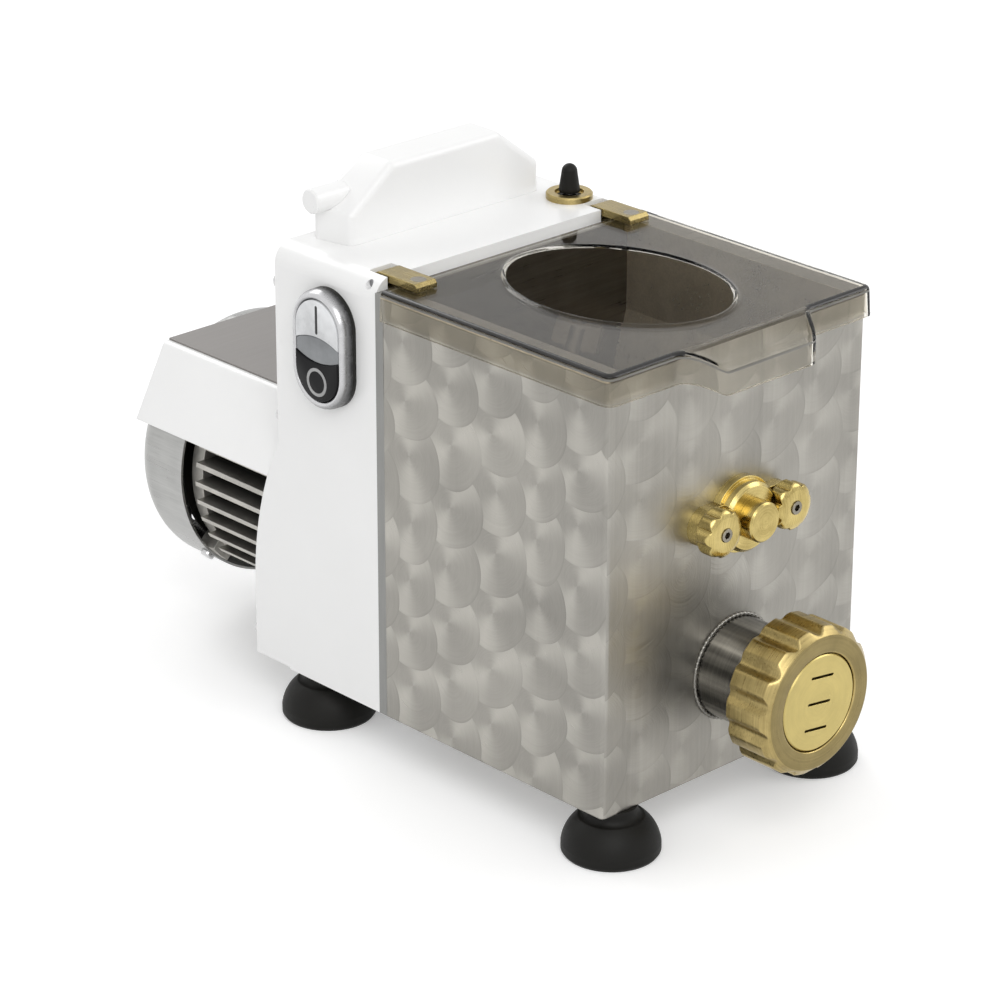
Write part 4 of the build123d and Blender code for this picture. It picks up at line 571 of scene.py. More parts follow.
NODE_FINISHES = {
    "spotted_sheet": "steel_casing",
    "tank_steel": "mixing_tank",
    "neck_steel": "extrusion_barrel auger",
    "weld_steel": "neck_weld",
    "paddle_steel": "mixer",
    "shaft_steel": "mixer_drive_shaft first_countershaft second_countershaft rotor",
    "gear_steel": "bearing_plate auger_wheel mixer_wheel first_wheel second_wheel motor_pinion "
                  "stator_core hinge_pins",
    "plate_grey": "rear_plate",
    "top_steel": "cover_top_plate",
    "cowl_steel": "fan_cowl",
    "white_enamel": "electrics_cover motor_cover side_plug",
    "white_casting": "gearbox_casting rear_cover",
    "satin_brass": "ring_nut toggle_nut",
    "bright_brass": "front_bush pivot_pin knob_left knob_right",
    "strap_brass": "hinge_bracket_left hinge_bracket_right",
    "die_bronze": "die",
    "oiled_bronze": "shaft_bearings",
    "stud_steel": "bush_studs bracket_screws",
    "chrome": "housing_screws foot_screws toggle_lever",
    "smoky_clear": "lid",
    "cast_aluminium": "front_end_shield rear_end_shield",
    "finned_aluminium": "motor_frame",
    "can_aluminium": "capacitor",
    "copper": "stator_windings",
    "titanium_grey": "button_bezel",
    "light_button": "start_button",
    "grey_lens": "button_lens",
    "black_button": "stop_button",
    "black_rubber": "rubber_feet toggle_boot shaft_seals",
    "black_moulding": "button_base contact_block toggle_switch terminal_block cable_gland cooling_fan",
}
FINISHES = {}


class EXTRUDER_OT_finishes(bpy.types.Operator):
    """Make every finish and put it on the pieces of the frame"""

    bl_idname = "extruder.finishes"
    bl_label = "Finishes"

    def execute(self, context):
        FINISHES.update(make_finishes(context.scene.extruder_finish))
        for finish, names in NODE_FINISHES.items():
            for name in names.split():
                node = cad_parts[name]
                node.data.materials.clear()
                node.data.materials.append(FINISHES[finish])
        return {"FINISHED"}


# ---- mesh tools
SAME_PLACE = 2e-6      # points nearer than this are one point
CORNER_SHARE = 0.45    # largest share of a side that a rounded corner may take


def as_object(name, mesh, finish=None):
    """New object at the origin that holds the mesh."""
    made = bpy.data.objects.new(name, mesh)
    bpy.context.scene.collection.objects.link(made)
    if finish:
        mesh.materials.clear()
        mesh.materials.append(FINISHES[finish])
    return made


def settle(mesh, sharp=35.0):
    """Merge doubles, point the faces outwards and shade smooth up to an angle."""
    work = bmesh.new()
    work.from_mesh(mesh)
    bmesh.ops.remove_doubles(work, verts=work.verts, dist=SAME_PLACE)
    bmesh.ops.dissolve_degenerate(work, edges=work.edges, dist=1e-7)
    bmesh.ops.recalc_face_normals(work, faces=work.faces)
    work.to_mesh(mesh)
    work.free()
    mesh.shade_smooth()
    mesh.set_sharp_from_angle(angle=radians(sharp))
    return mesh


def applied(made):
    """Mesh of the object as evaluated; the object takes it and loses its modifiers."""
    bpy.context.view_layer.update()
    graph = bpy.context.evaluated_depsgraph_get()
    mesh = bpy.data.meshes.new_from_object(made.evaluated_get(graph))
    old = made.data
    made.modifiers.clear()
    made.data = mesh
    bpy.data.meshes.remove(old)
    return made


def rounded(points, radius, steps=3):
    """Closed outline with its corners rounded; a point may carry its own radius."""
    out = []
    for i, here in enumerate(points):
        size = here[2] if len(here) > 2 else radius
        p = Vector(here[:2])
        before, after = Vector(points[i - 1][:2]) - p, Vector(points[(i + 1) % len(points)][:2]) - p
        if size <= 0:
            out.append(tuple(p))
            continue
        size = min(size, CORNER_SHARE * before.length, CORNER_SHARE * after.length)
        start, end = p + before.normalized() * size, p + after.normalized() * size
        for step in range(steps + 1):
            t = step / steps
            out.append(tuple((1 - t) ** 2 * start + 2 * t * (1 - t) * p + t * t * end))
    return out


# ---- turned pieces with lobes or flutes
def scalloped_turning():
    """Geometry nodes: spins an outline of (radius, station) points about Y and cuts lobes or flutes."""
    w, given, out = new_tree(
        "scalloped_turning", "GeometryNodeTree",
        [("Outline", GEOMETRY, None), ("Segments", WHOLE, 224),
         ("Lobes", WHOLE, 14), ("Outer Radius", FLOAT, 0.036), ("Lobe Depth", FLOAT, 0.0026),
         ("Lobe Shape", FLOAT, 0.0), ("Land Share", FLOAT, 0.0), ("Centre", VECTOR, AUGER),
         ("Finish", MATERIAL, None)],
        [("Geometry", GEOMETRY)])
    put, math = w.put, w.math
    rows = put("GeometryNodeAttributeDomainSize", {0: given["Outline"]}, "Point Count", component="MESH")
    grid = put("GeometryNodeMeshGrid", {"Size X": 1.0, "Size Y": 1.0, "Vertices X": w.plus(rows, 1),
                                        "Vertices Y": w.plus(given["Segments"], 1)}, "Mesh")
    spot = put("GeometryNodeInputPosition")
    row = math("ROUND", w.times(w.plus(w.axis(spot, 0), 0.5), rows))
    angle = w.times(w.plus(w.axis(spot, 1), 0.5), 2 * pi)
    point = put("GeometryNodeSampleIndex", {
        "Geometry": given["Outline"], "Value": put("GeometryNodeInputPosition"),
        "Index": math("FLOORED_MODULO", row, rows)}, "Value", data_type="FLOAT_VECTOR", domain="POINT")
    radius, station = (w.axis(point, i) for i in range(2))
    wave = math("COSINE", w.times(angle, given["Lobes"]))
    land = given["Land Share"]
    flute = w.over(w.minus(wave, land), w.minus(1.0, land), clamp=True)
    half_turns = w.times(angle, w.times(given["Lobes"], 0.5))
    lobe = w.minus(1.0, math("ABSOLUTE", math("COSINE", half_turns)))
    cut = w.times(w.value_between(given["Lobe Shape"], flute, lobe), given["Lobe Depth"])
    reach = math("MINIMUM", radius, w.minus(given["Outer Radius"], cut))
    ring = w.point(w.times(reach, math("SINE", angle)), station, w.times(reach, math("COSINE", angle)))
    place = w.vector("ADD", given["Centre"], ring)
    spun = put("GeometryNodeSetPosition", {"Geometry": grid, "Position": place})
    closed = put("GeometryNodeMergeByDistance", {"Geometry": spun, "Distance": SAME_PLACE})
    real = put("GeometryNodeRealizeInstances", {0: closed})
    finished = put("GeometryNodeSetMaterial", {"Geometry": real, "Material": given["Finish"]})
    w.link(finished, out["Geometry"])
    return w.tree


def run_nodes(made, tree, values):
    """Run Geometry Nodes with these named inputs on the object and keep the result as its mesh."""
    sockets = {item.name: item.identifier for item in tree.interface.items_tree
               if item.item_type == "SOCKET" and item.in_out == "INPUT"}
    modifier = made.modifiers.new("build", "NODES")
    modifier.node_group = tree
    for label, value in values.items():
        modifier[sockets[label]] = value
    return applied(made)


def outline_mesh(name, points):
    """Mesh of loose points (radius, station) that a turning reads in order."""
    mesh = bpy.data.meshes.new(name)
    mesh.from_pydata([(r, y, 0.0) for r, y in points], [], [])
    return mesh


def turning(name, points, finish, **values):
    made = as_object(name, outline_mesh(name, points))
    tree = bpy.data.node_groups.get("scalloped_turning") or scalloped_turning()
    run_nodes(made, tree, {**{label.replace("_", " "): value for label, value in values.items()},
                           "Finish": FINISHES[finish]})
    settle(made.data)
    return made


class RingNutSettings(bpy.types.PropertyGroup):
    """Sizes of the ring nut."""

    flutes: IntProperty(name="Flutes", description="Finger flutes round the nut", default=14, min=3)
    flute_depth: size_setting("Flute depth", "How deep a flute is cut", 0.0026)
    chamfer: size_setting("Chamfer", "Bevel of the front edge", 0.0035)
    land: FloatProperty(name="Land share", description="Share of the way between flutes left uncut",
                        default=-0.2, min=-1.0, max=0.9)


class EXTRUDER_OT_ring_nut(bpy.types.Operator):
    """Turn the fluted ring nut"""

    bl_idname = "extruder.ring_nut"
    bl_label = "Ring nut"

    def execute(self, context):
        s = context.scene.extruder_ring_nut
        low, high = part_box("ring_nut")
        front, back, radius = low.y, high.y, max(high.z - AUGER[2], high.x, -low.x)
        lip, bore, boss = front + 0.005, 0.02705, 0.0223
        mouth = boss + 0.0005
        slope = [(radius - s.chamfer * (1 - t / 6), front + s.chamfer * t / 6, 0) for t in range(1, 6)]
        points = rounded([(mouth, front, 0.0011), (radius - s.chamfer, front, 0.0005), *slope,
                          (radius, front + s.chamfer, 0.0004), (radius, back - 0.001, 0.0003),
                          (radius - 0.001, back, 0.0003), (bore, back, 0.0003), (bore, lip, 0),
                          (mouth, lip, 0.0002)], 0.0003)
        nut = turning("ring_nut_body", points, "satin_brass", Lobes=s.flutes, Outer_Radius=radius,
                      Lobe_Depth=s.flute_depth, Land_Share=s.land, Centre=AUGER)
        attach(nut, "ring_nut")
        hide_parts("ring_nut")
        return {"FINISHED"}


class KnobSettings(bpy.types.PropertyGroup):
    """Sizes of the two knobs."""

    lobes: IntProperty(name="Lobes", description="Lobes round a knob", default=8, min=3)
    lobe_depth: size_setting("Lobe depth", "How far a lobe stands out", 0.0019)
    bore: size_setting("Bore", "Radius of the hole for the stud", 0.00305)


class EXTRUDER_OT_knobs(bpy.types.Operator):
    """Turn the two lobed knobs"""

    bl_idname = "extruder.knobs"
    bl_label = "Knobs"

    def execute(self, context):
        s = context.scene.extruder_knobs
        for side in ("left", "right"):
            low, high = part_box("knob_" + side)
            front, back, radius = low.y, high.y, (high.z - low.z) / 2
            points = rounded([(s.bore, front, 0.0003), (radius - 0.0034, front, 0.0004),
                              (radius - 0.0012, front + 0.0007, 0.0008),
                              (radius, front + 0.0022, 0.0008), (radius, back - 0.0016, 0.0008),
                              (radius - 0.0016, back, 0.0004), (s.bore, back, 0.0003)], 0.0004, 4)
            knob = turning(f"knob_{side}_body", points, "bright_brass", Lobes=s.lobes, Segments=192,
                           Outer_Radius=radius, Lobe_Depth=s.lobe_depth, Lobe_Shape=1.0,
                           Centre=((low.x + high.x) / 2, 0.0, MIXER[2]))
            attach(knob, "knob_" + side)
            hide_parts("knob_" + side)
        return {"FINISHED"}


# ---- weld bead round the neck
def weld_ripples():
    """Geometry nodes: ripples of weld metal set round a circle about Y."""
    w, given, out = new_tree(
        "weld_ripples", "GeometryNodeTree",
        [("Base", GEOMETRY, None), ("Count", WHOLE, 52), ("Radius", FLOAT, 0.0242),
         ("Size", FLOAT, 0.0017), ("Centre", VECTOR, AUGER), ("Seed", WHOLE, 4),
         ("Finish", MATERIAL, None)],
        [("Geometry", GEOMETRY)])
    put = w.put
    circle = put("GeometryNodeMeshCircle", {"Vertices": given["Count"], "Radius": given["Radius"]})
    number = put("GeometryNodeInputIndex")
    angle = w.times(w.over(number, given["Count"]), 2 * pi)
    turn = w.point(0.0, 0.0, angle)
    ball = put("GeometryNodeMeshUVSphere", {"Segments": 14, "Rings": 8, "Radius": given["Size"]}, "Mesh")
    jitter = put("FunctionNodeRandomValue", {2: 0.85, 3: 1.15, "ID": number, "Seed": given["Seed"]}, 1,
                 data_type="FLOAT")
    shape = w.vector("MULTIPLY", w.point(0.8, 1.35, 0.72), w.point(jitter, 1.0, jitter))
    beads = put("GeometryNodeInstanceOnPoints", {"Points": circle, "Instance": ball, "Rotation": turn,
                                                 "Scale": shape})
    real = put("GeometryNodeRealizeInstances", {0: beads})
    stood = put("GeometryNodeTransform", {"Geometry": real, "Translation": given["Centre"],
                                          "Rotation": (pi / 2, 0.0, 0.0)})
    finished = put("GeometryNodeSetMaterial", {"Geometry": stood, "Material": given["Finish"]})
    w.link(finished, out["Geometry"])
    return w.tree


class WeldSettings(bpy.types.PropertyGroup):
    """Sizes of the weld round the neck."""

    ripples: IntProperty(name="Ripples", description="Ripples round the neck", default=58, min=8)
    size: size_setting("Ripple size", "Radius of one ripple", 0.00135)


class EXTRUDER_OT_weld(bpy.types.Operator):
    """Lay the rippled weld bead where the neck meets the box"""

    bl_idname = "extruder.weld"
    bl_label = "Weld bead"

    def execute(self, context):
        s = context.scene.extruder_weld
        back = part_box("neck_weld")[1].y
        made = as_object("neck_weld_bead", bpy.data.meshes.new("neck_weld_bead"))
        run_nodes(made, weld_ripples(), {"Count": s.ripples, "Size": s.size,
                                         "Centre": (0.0, back - 0.0005, AUGER[2]),
                                         "Finish": FINISHES["weld_steel"]})
        made.data.shade_smooth()
        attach(made, "housing")
        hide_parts("neck_weld")
        return {"FINISHED"}


# ---- lid
class LidSettings(bpy.types.PropertyGroup):
    """Sizes of the clear lid."""

    thickness: size_setting("Sheet", "Thickness of the sheet", 0.0018)
    bend: size_setting("Bend", "Outer radius of the bent edge", 0.0026)
    flare: size_setting("Flare", "How far the skirt leans out", 0.0007)
    lip_reach: size_setting("Lip reach", "How far the pull lip stands out", 0.0158)
    lip_drop: size_setting("Lip drop", "How far the lip dips at its tip", 0.006)
    bead: size_setting("Rim bead", "Height of the rolled rim of the hole", 0.0009)


def ease(t):
    t = min(1.0, max(0.0, t))
    return t * t * (3 - 2 * t)


class LidShape:
    """Outline and surface of the lid, in metres."""

    half, front, rear, top = 0.0821, -0.1474, -0.0060, 0.2310
    corner, root, tip, skirt = 0.0045, 0.042, 0.026, 0.0138
    hole_x, hole_y, hole_centre = 0.043, 0.056, -0.071
    side_steps, corner_steps, front_steps, rear_steps = 30, 8, 96, 40
    flat_rows, bend_rows, skirt_rows = 30, 5, 8
    dark_rows, lip_slant, margin = 3, 0.0012, 0.001
    # way out from the hole's edge, share of the bead's height
    section = ((0.0, 0.0), (0.0003, 0.6), (0.0009, 0.95), (0.0014, 1.0), (0.0020, 0.85),
               (0.0026, 0.4), (0.0032, 0.08), (0.0040, 0.0))

    def __init__(self, settings):
        self.s = settings

    def lip(self, x):
        """Share of the lip's full reach at a distance from the middle."""
        return ease((self.root - abs(x)) / (self.root - self.tip))

    def outline(self):
        """Points round the edge from the rear left corner to the rear right one."""
        h, f, c = self.half, self.front, self.corner
        side, turn, wide = self.side_steps, self.corner_steps, self.front_steps

        def corner(x, start, steps):
            angles = (start + (pi / 2) * i / turn for i in steps)
            return [(x + c * cos(a), f + c + c * sin(a)) for a in angles]

        across = [(-h + c) + (2 * h - 2 * c) * i / wide for i in range(wide + 1)]
        return [*((-h, self.rear + (f + c - self.rear) * i / side) for i in range(side)),
                *corner(-h + c, pi, range(turn)),
                *((x, f - self.s.lip_reach * self.lip(x)) for x in across),
                *corner(h - c, 1.5 * pi, range(1, turn + 1)),
                *((h, f + c + (self.rear - f - c) * i / side) for i in range(1, side + 1))]

    def height(self, x, y):
        """Top of the sheet at a point: flat, then dipping along the lip."""
        share = (self.front + self.margin - y) / (self.s.lip_reach + self.margin)
        return self.top - self.s.lip_drop * min(1.0, max(0.0, share)) * self.lip(x)

    def rim(self, point):
        """Point of the hole's edge that faces a point of the outline."""
        angle = atan2((point[1] - self.hole_centre) / self.hole_y, point[0] / self.hole_x)
        return Vector((self.hole_x * cos(angle), self.hole_centre + self.hole_y * sin(angle)))

    def mesh(self):
        s, edge = self.s, self.outline()
        count = len(edge)
        flats, outs = [], []
        for i, here in enumerate(edge):
            before, after = edge[max(i - 1, 0)], edge[min(i + 1, count - 1)]
            way = Vector((after[0] - before[0], after[1] - before[1])).normalized()
            outs.append(Vector((way.y, -way.x)))
            flats.append(Vector(here))
        rear_inner = self.half - s.bend
        rear = [Vector((rear_inner - 2 * rear_inner * i / self.rear_steps, self.rear))
                for i in range(1, self.rear_steps)]
        inner = [p - n * s.bend for p, n in zip(flats, outs)]
        inner[0], inner[-1] = Vector((-rear_inner, self.rear)), Vector((rear_inner, self.rear))
        loop = inner + rear

        def row_at(reach, rise=0.0, share=0.0):
            """Points this far out from the hole, then moved by a share of the way to the edge."""
            row = []
            for p in loop:
                hole = self.rim(p)
                q = hole + (p - hole).normalized() * reach
                if share:
                    q = q.lerp(p, share)
                row.append((q.x, q.y, self.height(q.x, q.y) + s.bead * rise))
            return row

        rows = [row_at(reach, rise) for reach, rise in self.section]
        rows += [row_at(self.section[-1][0], share=step / self.flat_rows)
                 for step in range(1, self.flat_rows + 1)]
        verts, faces, size = [place for row in rows for place in row], [], len(loop)
        for r in range(len(rows) - 1):
            for i in range(size):
                j = (i + 1) % size
                faces.append((r * size + i, r * size + j, (r + 1) * size + j, (r + 1) * size + i))
        painted_edge_faces = {}
        last = (len(rows) - 1) * size
        previous = [last + i for i in range(count)]
        bend, skirt = self.bend_rows, self.skirt_rows
        for step in range(1, bend + skirt + 1):
            row = []
            for i in range(count):
                p, n = flats[i], outs[i]
                base = self.height(p.x, p.y)
                if step <= bend:
                    a = (pi / 2) * step / bend
                    q, z = p - n * (s.bend * (1 - sin(a))), base - s.bend * (1 - cos(a))
                else:
                    t = (step - bend) / skirt
                    reach = self.lip(p.x)
                    depth = self.skirt - s.bend - self.lip_slant * reach
                    lean = s.flare * (1 - reach)
                    q, z = p + n * (lean * t), base - s.bend - depth * t
                row.append(len(verts))
                verts.append((q.x, q.y, z))
            for i in range(count - 1):
                x = flats[i].x
                ahead = x < self.half - self.margin
                # Painted shade: a dark line on the first rows of the bend, on the left and along the
                # front beside the lip; painted highlight: the last bend row, except on the right side.
                if step <= self.dark_rows and ahead and abs(x) > self.root - 2 * self.margin:
                    painted_edge_faces[len(faces)] = 1
                elif step == bend and ahead:
                    painted_edge_faces[len(faces)] = 2
                faces.append((previous[i], previous[i + 1], row[i + 1], row[i]))
            previous = row
        mesh = bpy.data.meshes.new("lid_shell")
        mesh.from_pydata(verts, [], faces)
        for finish in ("smoky_clear", "smoked_edge", "lit_edge"):
            mesh.materials.append(FINISHES[finish])
        for i, slot in painted_edge_faces.items():
            mesh.polygons[i].material_index = slot
        return mesh


class EXTRUDER_OT_lid(bpy.types.Operator):
    """Form the clear lid with its skirts, pull lip and rolled hole"""

    bl_idname = "extruder.lid"
    bl_label = "Lid"

    def execute(self, context):
        s = context.scene.extruder_lid
        mesh = LidShape(s).mesh()
        settle(mesh, 60)
        lid = as_object("lid_shell", mesh)
        up = sum(face.normal.z for face in mesh.polygons if abs(face.normal.z) > 0.9)
        if up < 0:
            mesh.flip_normals()
        solid = lid.modifiers.new("sheet", "SOLIDIFY")
        solid.thickness, solid.offset, solid.use_even_offset = s.thickness, -1.0, True
        applied(lid)
        settle(lid.data, 50)
        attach(lid, "lid")
        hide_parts("lid")
        return {"FINISHED"}


# ---- push buttons
class ButtonSettings(bpy.types.PropertyGroup):
    """Sizes of the double push button."""

    opening: FloatVectorProperty(name="Opening", description="Width and height of the bezel's opening",
                                 size=2, default=(0.0288, 0.0480))
    arc: size_setting("Arc", "Rise of the curved edge between a head and the lens", 0.0032)
    gap: size_setting("Gap", "Gap round a head", 0.0002)
    mark: size_setting("Mark", "Width of a line of the marks", 0.0015)
    head: size_setting("Head", "Depth of a button's head", 0.0035)


MARK_LIFT, MARK_DEPTH, HEAD_LIFT, LENS_LIFT = 0.00003, 0.0004, 0.00015, 0.0007
SOFT_EDGE, MARK_EDGE = 0.0005, 0.00008
# share of the way in from the rim, depth below the crest
BEZEL = ((0.0, 0.0044), (0.02, 0.0034), (0.07, 0.0025), (0.15, 0.0017), (0.26, 0.0010), (0.38, 0.0005),
         (0.52, 0.0001), (0.66, 0.0), (0.80, 0.0002), (0.92, 0.0007), (1.0, 0.0015))


def stadium(width, height, steps=20):
    """Points round an upright slot shape, from its right side over the top."""
    radius, run = width / 2, (height - width) / 2
    points = []
    for centre, start in ((run, 0.0), (-run, pi)):
        for i in range(steps + 1):
            a = start + pi * i / steps
            points.append((radius * cos(a), centre + radius * sin(a)))
    return points


def side_disc(name, outline, centre, outer, inner, bevel):
    """Closed plate with this outline on the casting's left side, with a softened outer edge."""
    work = bmesh.new()
    y, z = centre
    verts = [work.verts.new((outer, y + u, z + v)) for u, v in outline]
    face = work.faces.new(verts)
    grown = bmesh.ops.extrude_face_region(work, geom=[face])["geom"]
    moved = [v for v in grown if isinstance(v, bmesh.types.BMVert)]
    bmesh.ops.translate(work, verts=moved, vec=(inner - outer, 0, 0))
    rim = [e for e in work.edges if all(abs(v.co.x - outer) < 1e-7 for v in e.verts)]
    bmesh.ops.bevel(work, geom=rim, offset=bevel, segments=3, profile=0.5, affect="EDGES",
                    clamp_overlap=True)
    mesh = bpy.data.meshes.new(name)
    work.to_mesh(mesh)
    work.free()
    return settle(mesh)


def side_band(name, rows, centre):
    """Closed ring on the casting's left side from rows of (outline, x)."""
    y, z = centre
    verts, faces, size = [], [], len(rows[0][0])
    for outline, x in rows:
        verts.extend((x, y + u, z + v) for u, v in outline)
    for r in range(len(rows)):
        here, there = r * size, (r + 1) % len(rows) * size
        for i in range(size):
            j = (i + 1) % size
            faces.append((here + i, here + j, there + j, there + i))
    mesh = bpy.data.meshes.new(name)
    mesh.from_pydata(verts, [], faces)
    return settle(mesh, 50)


class EXTRUDER_OT_buttons(bpy.types.Operator):
    """Form the bezel, the two heads with their marks and the lens between them"""

    bl_idname = "extruder.buttons"
    bl_label = "Push buttons"

    def execute(self, context):
        s = context.scene.extruder_buttons
        low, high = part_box("button_bezel")
        centre = ((low.y + high.y) / 2, (low.z + high.z) / 2)
        wide, tall, face = high.y - low.y, high.z - low.z, low.x
        slot_wide, slot_tall = s.opening
        profile = [(0.0, high.x), *((t, face + depth) for t, depth in BEZEL), (1.0, high.x)]
        rows = [(stadium(wide + (slot_wide - wide) * t, tall + (slot_tall - tall) * t), x)
                for t, x in profile]
        bezel = as_object("bezel_ring", side_band("bezel_ring", rows, centre), "titanium_grey")
        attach(bezel, "housing")
        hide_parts("button_bezel")

        lens_low, lens_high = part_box("button_lens")
        bottom, top = lens_low.z - centre[1], lens_high.z - centre[1]
        middle, half = (bottom + top) / 2, (top - bottom) / 2 - s.arc * 0.55
        wide, tall = slot_wide - 2 * s.gap, slot_tall - 2 * s.gap
        shape = stadium(wide, tall, 28)

        def arc(sign, gap):
            points = []
            for i in range(25):
                u = wide / 2 * (1 - i / 12)
                points.append((u, middle + sign * (half + gap + s.arc * (1 - (2 * u / wide) ** 2))))
            return points

        upper, lower = arc(1, s.gap), arc(-1, s.gap)
        start = [p for p in shape if p[1] > upper[0][1] + 0.0002] + upper[::-1]
        stop = [p for p in shape if p[1] < lower[0][1] - 0.0002] + lower
        lens = arc(1, 0.0) + arc(-1, 0.0)[::-1]
        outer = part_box("start_button")[0].x
        back = outer + s.head
        crown = outer + HEAD_LIFT
        for name, outline, front, rear, finish, body, slot in (
                ("start_head", start, crown, back, "light_button", "start_button", "start_grey"),
                ("stop_head", stop, crown, back, "black_button", "stop_button", "black_plastic"),
                ("lens_cover", lens, outer + LENS_LIFT, lens_high.x, "grey_lens", "button_lens",
                 "lens_grey")):
            piece = as_object(name, side_disc(name, outline, centre, front, rear, SOFT_EDGE), finish)
            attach(piece, "housing" if body == "button_lens" else body)
            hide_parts(body)

        front, rear = outer + MARK_LIFT, outer + MARK_DEPTH
        line = [(u - 0.0003, v + 0.0148) for u, v in stadium(s.mark, 0.0135, 8)]
        mesh = side_disc("start_mark", line, centre, front, rear, MARK_EDGE)
        bar = as_object("start_mark", mesh, "mark_dark")
        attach(bar, "start_button")
        wide_ring, narrow_ring = ([(u, v - 0.0149) for u, v in stadium(2 * r, 2 * r + 1e-6, 24)]
                                  for r in (0.0067, 0.0067 - s.mark))
        rows = [(wide_ring, rear), (wide_ring, front), (narrow_ring, front), (narrow_ring, rear)]
        mark = as_object("stop_mark", side_band("stop_mark", rows, centre), "mark_light")
        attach(mark, "stop_button")
        return {"FINISHED"}


# ---- studio
class StageSettings(bpy.types.PropertyGroup):
    """The studio: camera, light and floor."""

    lens: FloatProperty(name="Lens", description="Focal length on a 36 mm sensor", default=138.818)
    camera: FloatVectorProperty(name="Camera", description="Place of the camera", unit="LENGTH",
                                subtype="TRANSLATION", precision=6,
                                default=(-1.13308505, -1.19096576, 0.80968411))
    azimuth: FloatProperty(name="Azimuth", description="Way round to the camera, in degrees",
                           default=-43.4671)
    elevation: FloatProperty(name="Elevation", description="Height of the camera's line, in degrees",
                             default=23.1708)
    roll: FloatProperty(name="Roll", description="Tilt of the camera, in degrees", default=0.1302)
    surround: FloatProperty(name="Surround", description="Brightness of the light from all round",
                            default=0.67)


# name, place, aim, width, height, power
LAMPS = (("key", (-1.1, -1.5, 1.7), (0, 0, 0.12), 1.3, 1.3, 19),
         ("fill", (1.6, -1.0, 1.2), (0, 0, 0.12), 1.1, 1.1, 9),
         ("back", (0.2, 1.7, 1.5), (0, 0, 0.15), 1.4, 0.7, 10))
FLOOR = 6.0   # half the floor's side


def soft_lamp(name, place, aim, width, height, power):
    """Area lamp at a place that looks at a point."""
    lamp = bpy.data.lights.new(name, "AREA")
    lamp.shape, lamp.size, lamp.size_y, lamp.energy = "RECTANGLE", width, height, power
    made = bpy.data.objects.new(name, lamp)
    made.location = place
    made.rotation_euler = (Vector(aim) - Vector(place)).to_track_quat("-Z", "Y").to_euler()
    bpy.context.scene.collection.objects.link(made)


def seen_plainly(w):
    """1 for what the camera, a reflection or clear sheet shows, 0 for what only lights."""
    path = w.put("ShaderNodeLightPath", output="Is Camera Ray").node
    seen = w.plus(path.outputs["Is Camera Ray"], path.outputs["Is Glossy Ray"])
    return w.plus(seen, path.outputs["Is Transmission Ray"], clamp=True)


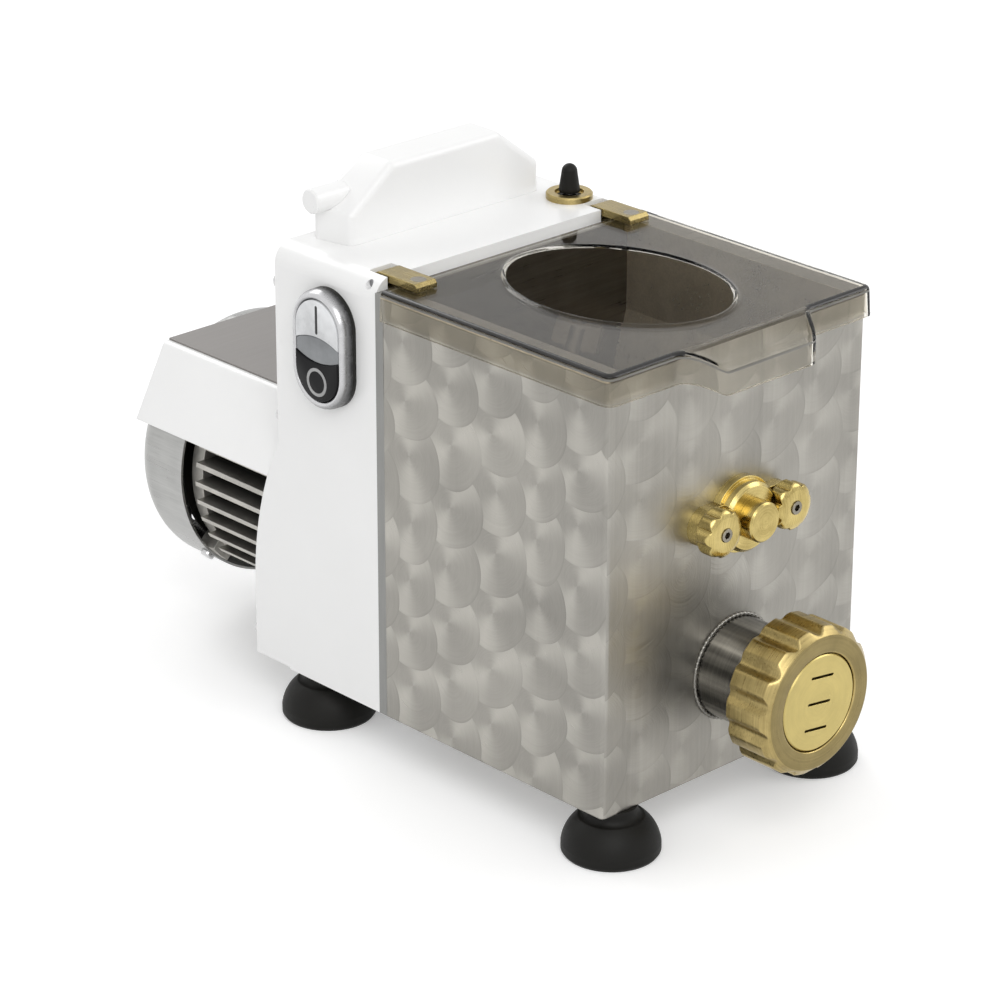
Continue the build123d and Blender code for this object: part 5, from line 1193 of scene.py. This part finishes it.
class EXTRUDER_OT_stage(bpy.types.Operator):
    """Set up the floor, the light and the camera"""

    bl_idname = "extruder.stage"
    bl_label = "Stage"

    def execute(self, context):
        s, scene = context.scene.extruder_stage, context.scene
        scene.view_settings.view_transform = "Standard"

        world = bpy.data.worlds.new("studio")
        world.use_nodes = True
        scene.world = world
        w = Wiring(world.node_tree)
        seen = seen_plainly(w)
        ground = world.node_tree.nodes["Background"]
        preset(ground, {"Color": (1.0, 1.0, 1.0, 1.0)})
        w.link(w.value_between(seen, s.surround, 1.0), ground.inputs["Strength"])

        mesh = bpy.data.meshes.new("floor")
        mesh.from_pydata([(x * FLOOR, y * FLOOR, 0) for x, y in ((-1, -1), (1, -1), (1, 1), (-1, 1))],
                         [], [(0, 1, 2, 3)])
        floor = as_object("floor", mesh)
        paper = bpy.data.materials.new("paper")
        paper.use_nodes = True
        w = Wiring(paper.node_tree)
        shader = paper.node_tree.nodes["Principled BSDF"]
        preset(shader, {"Base Color": (0.86, 0.86, 0.86, 1.0), "Roughness": 0.9,
                        "Specular IOR Level": 0.0, "Emission Color": (1.0, 1.0, 1.0, 1.0)})
        w.link(w.times(seen_plainly(w), 0.28), shader.inputs["Emission Strength"])
        mesh.materials.append(paper)

        for lamp in LAMPS:
            soft_lamp(*lamp)

        a, e, roll = (radians(v) for v in (s.azimuth, s.elevation, s.roll))
        back = Vector((sin(a) * cos(e), -cos(a) * cos(e), sin(e)))
        right = Vector((0, 0, 1)).cross(back).normalized()
        up = back.cross(right)
        right, up = right * cos(roll) + up * sin(roll), up * cos(roll) - right * sin(roll)
        lens = bpy.data.cameras.new("camera")
        lens.lens, lens.sensor_width, lens.clip_start, lens.clip_end = s.lens, 36.0, 0.05, 60.0
        camera = bpy.data.objects.new("camera", lens)
        turn = Matrix((right, up, back)).transposed().to_4x4()
        camera.matrix_world = Matrix.Translation(s.camera) @ turn
        scene.collection.objects.link(camera)
        scene.camera = camera
        return {"FINISHED"}


# ---- panel and run
OPERATORS = (EXTRUDER_OT_finishes, EXTRUDER_OT_lid, EXTRUDER_OT_ring_nut, EXTRUDER_OT_knobs,
             EXTRUDER_OT_weld, EXTRUDER_OT_buttons, EXTRUDER_OT_stage)
SETTINGS = {"extruder_finish": FinishSettings, "extruder_lid": LidSettings,
            "extruder_ring_nut": RingNutSettings, "extruder_knobs": KnobSettings,
            "extruder_weld": WeldSettings, "extruder_buttons": ButtonSettings,
            "extruder_stage": StageSettings}


class EXTRUDER_PT_panel(bpy.types.Panel):
    """Lists the sizes, the colours and the steps that build the extruder's looks"""

    bl_idname = "EXTRUDER_PT_panel"
    bl_label = "Pasta extruder"
    bl_space_type = "VIEW_3D"
    bl_region_type = "UI"
    bl_category = "Extruder"

    def draw(self, context):
        for name, group in SETTINGS.items():
            box = self.layout.box()
            settings = getattr(context.scene, name)
            for label in group.__annotations__:
                box.prop(settings, label)
        for operator in OPERATORS:
            self.layout.operator(operator.bl_idname)


def register():
    for item in (*SETTINGS.values(), *OPERATORS, EXTRUDER_PT_panel):
        bpy.utils.register_class(item)
    for name, group in SETTINGS.items():
        setattr(bpy.types.Scene, name, PointerProperty(type=group))


def unregister():
    for name in SETTINGS:
        delattr(bpy.types.Scene, name)
    for item in reversed((*SETTINGS.values(), *OPERATORS, EXTRUDER_PT_panel)):
        bpy.utils.unregister_class(item)


def main():
    register()
    for operator in OPERATORS:
        group, step = operator.bl_idname.split(".")
        getattr(getattr(bpy.ops, group), step)()


if __name__ == "__main__":
    main()
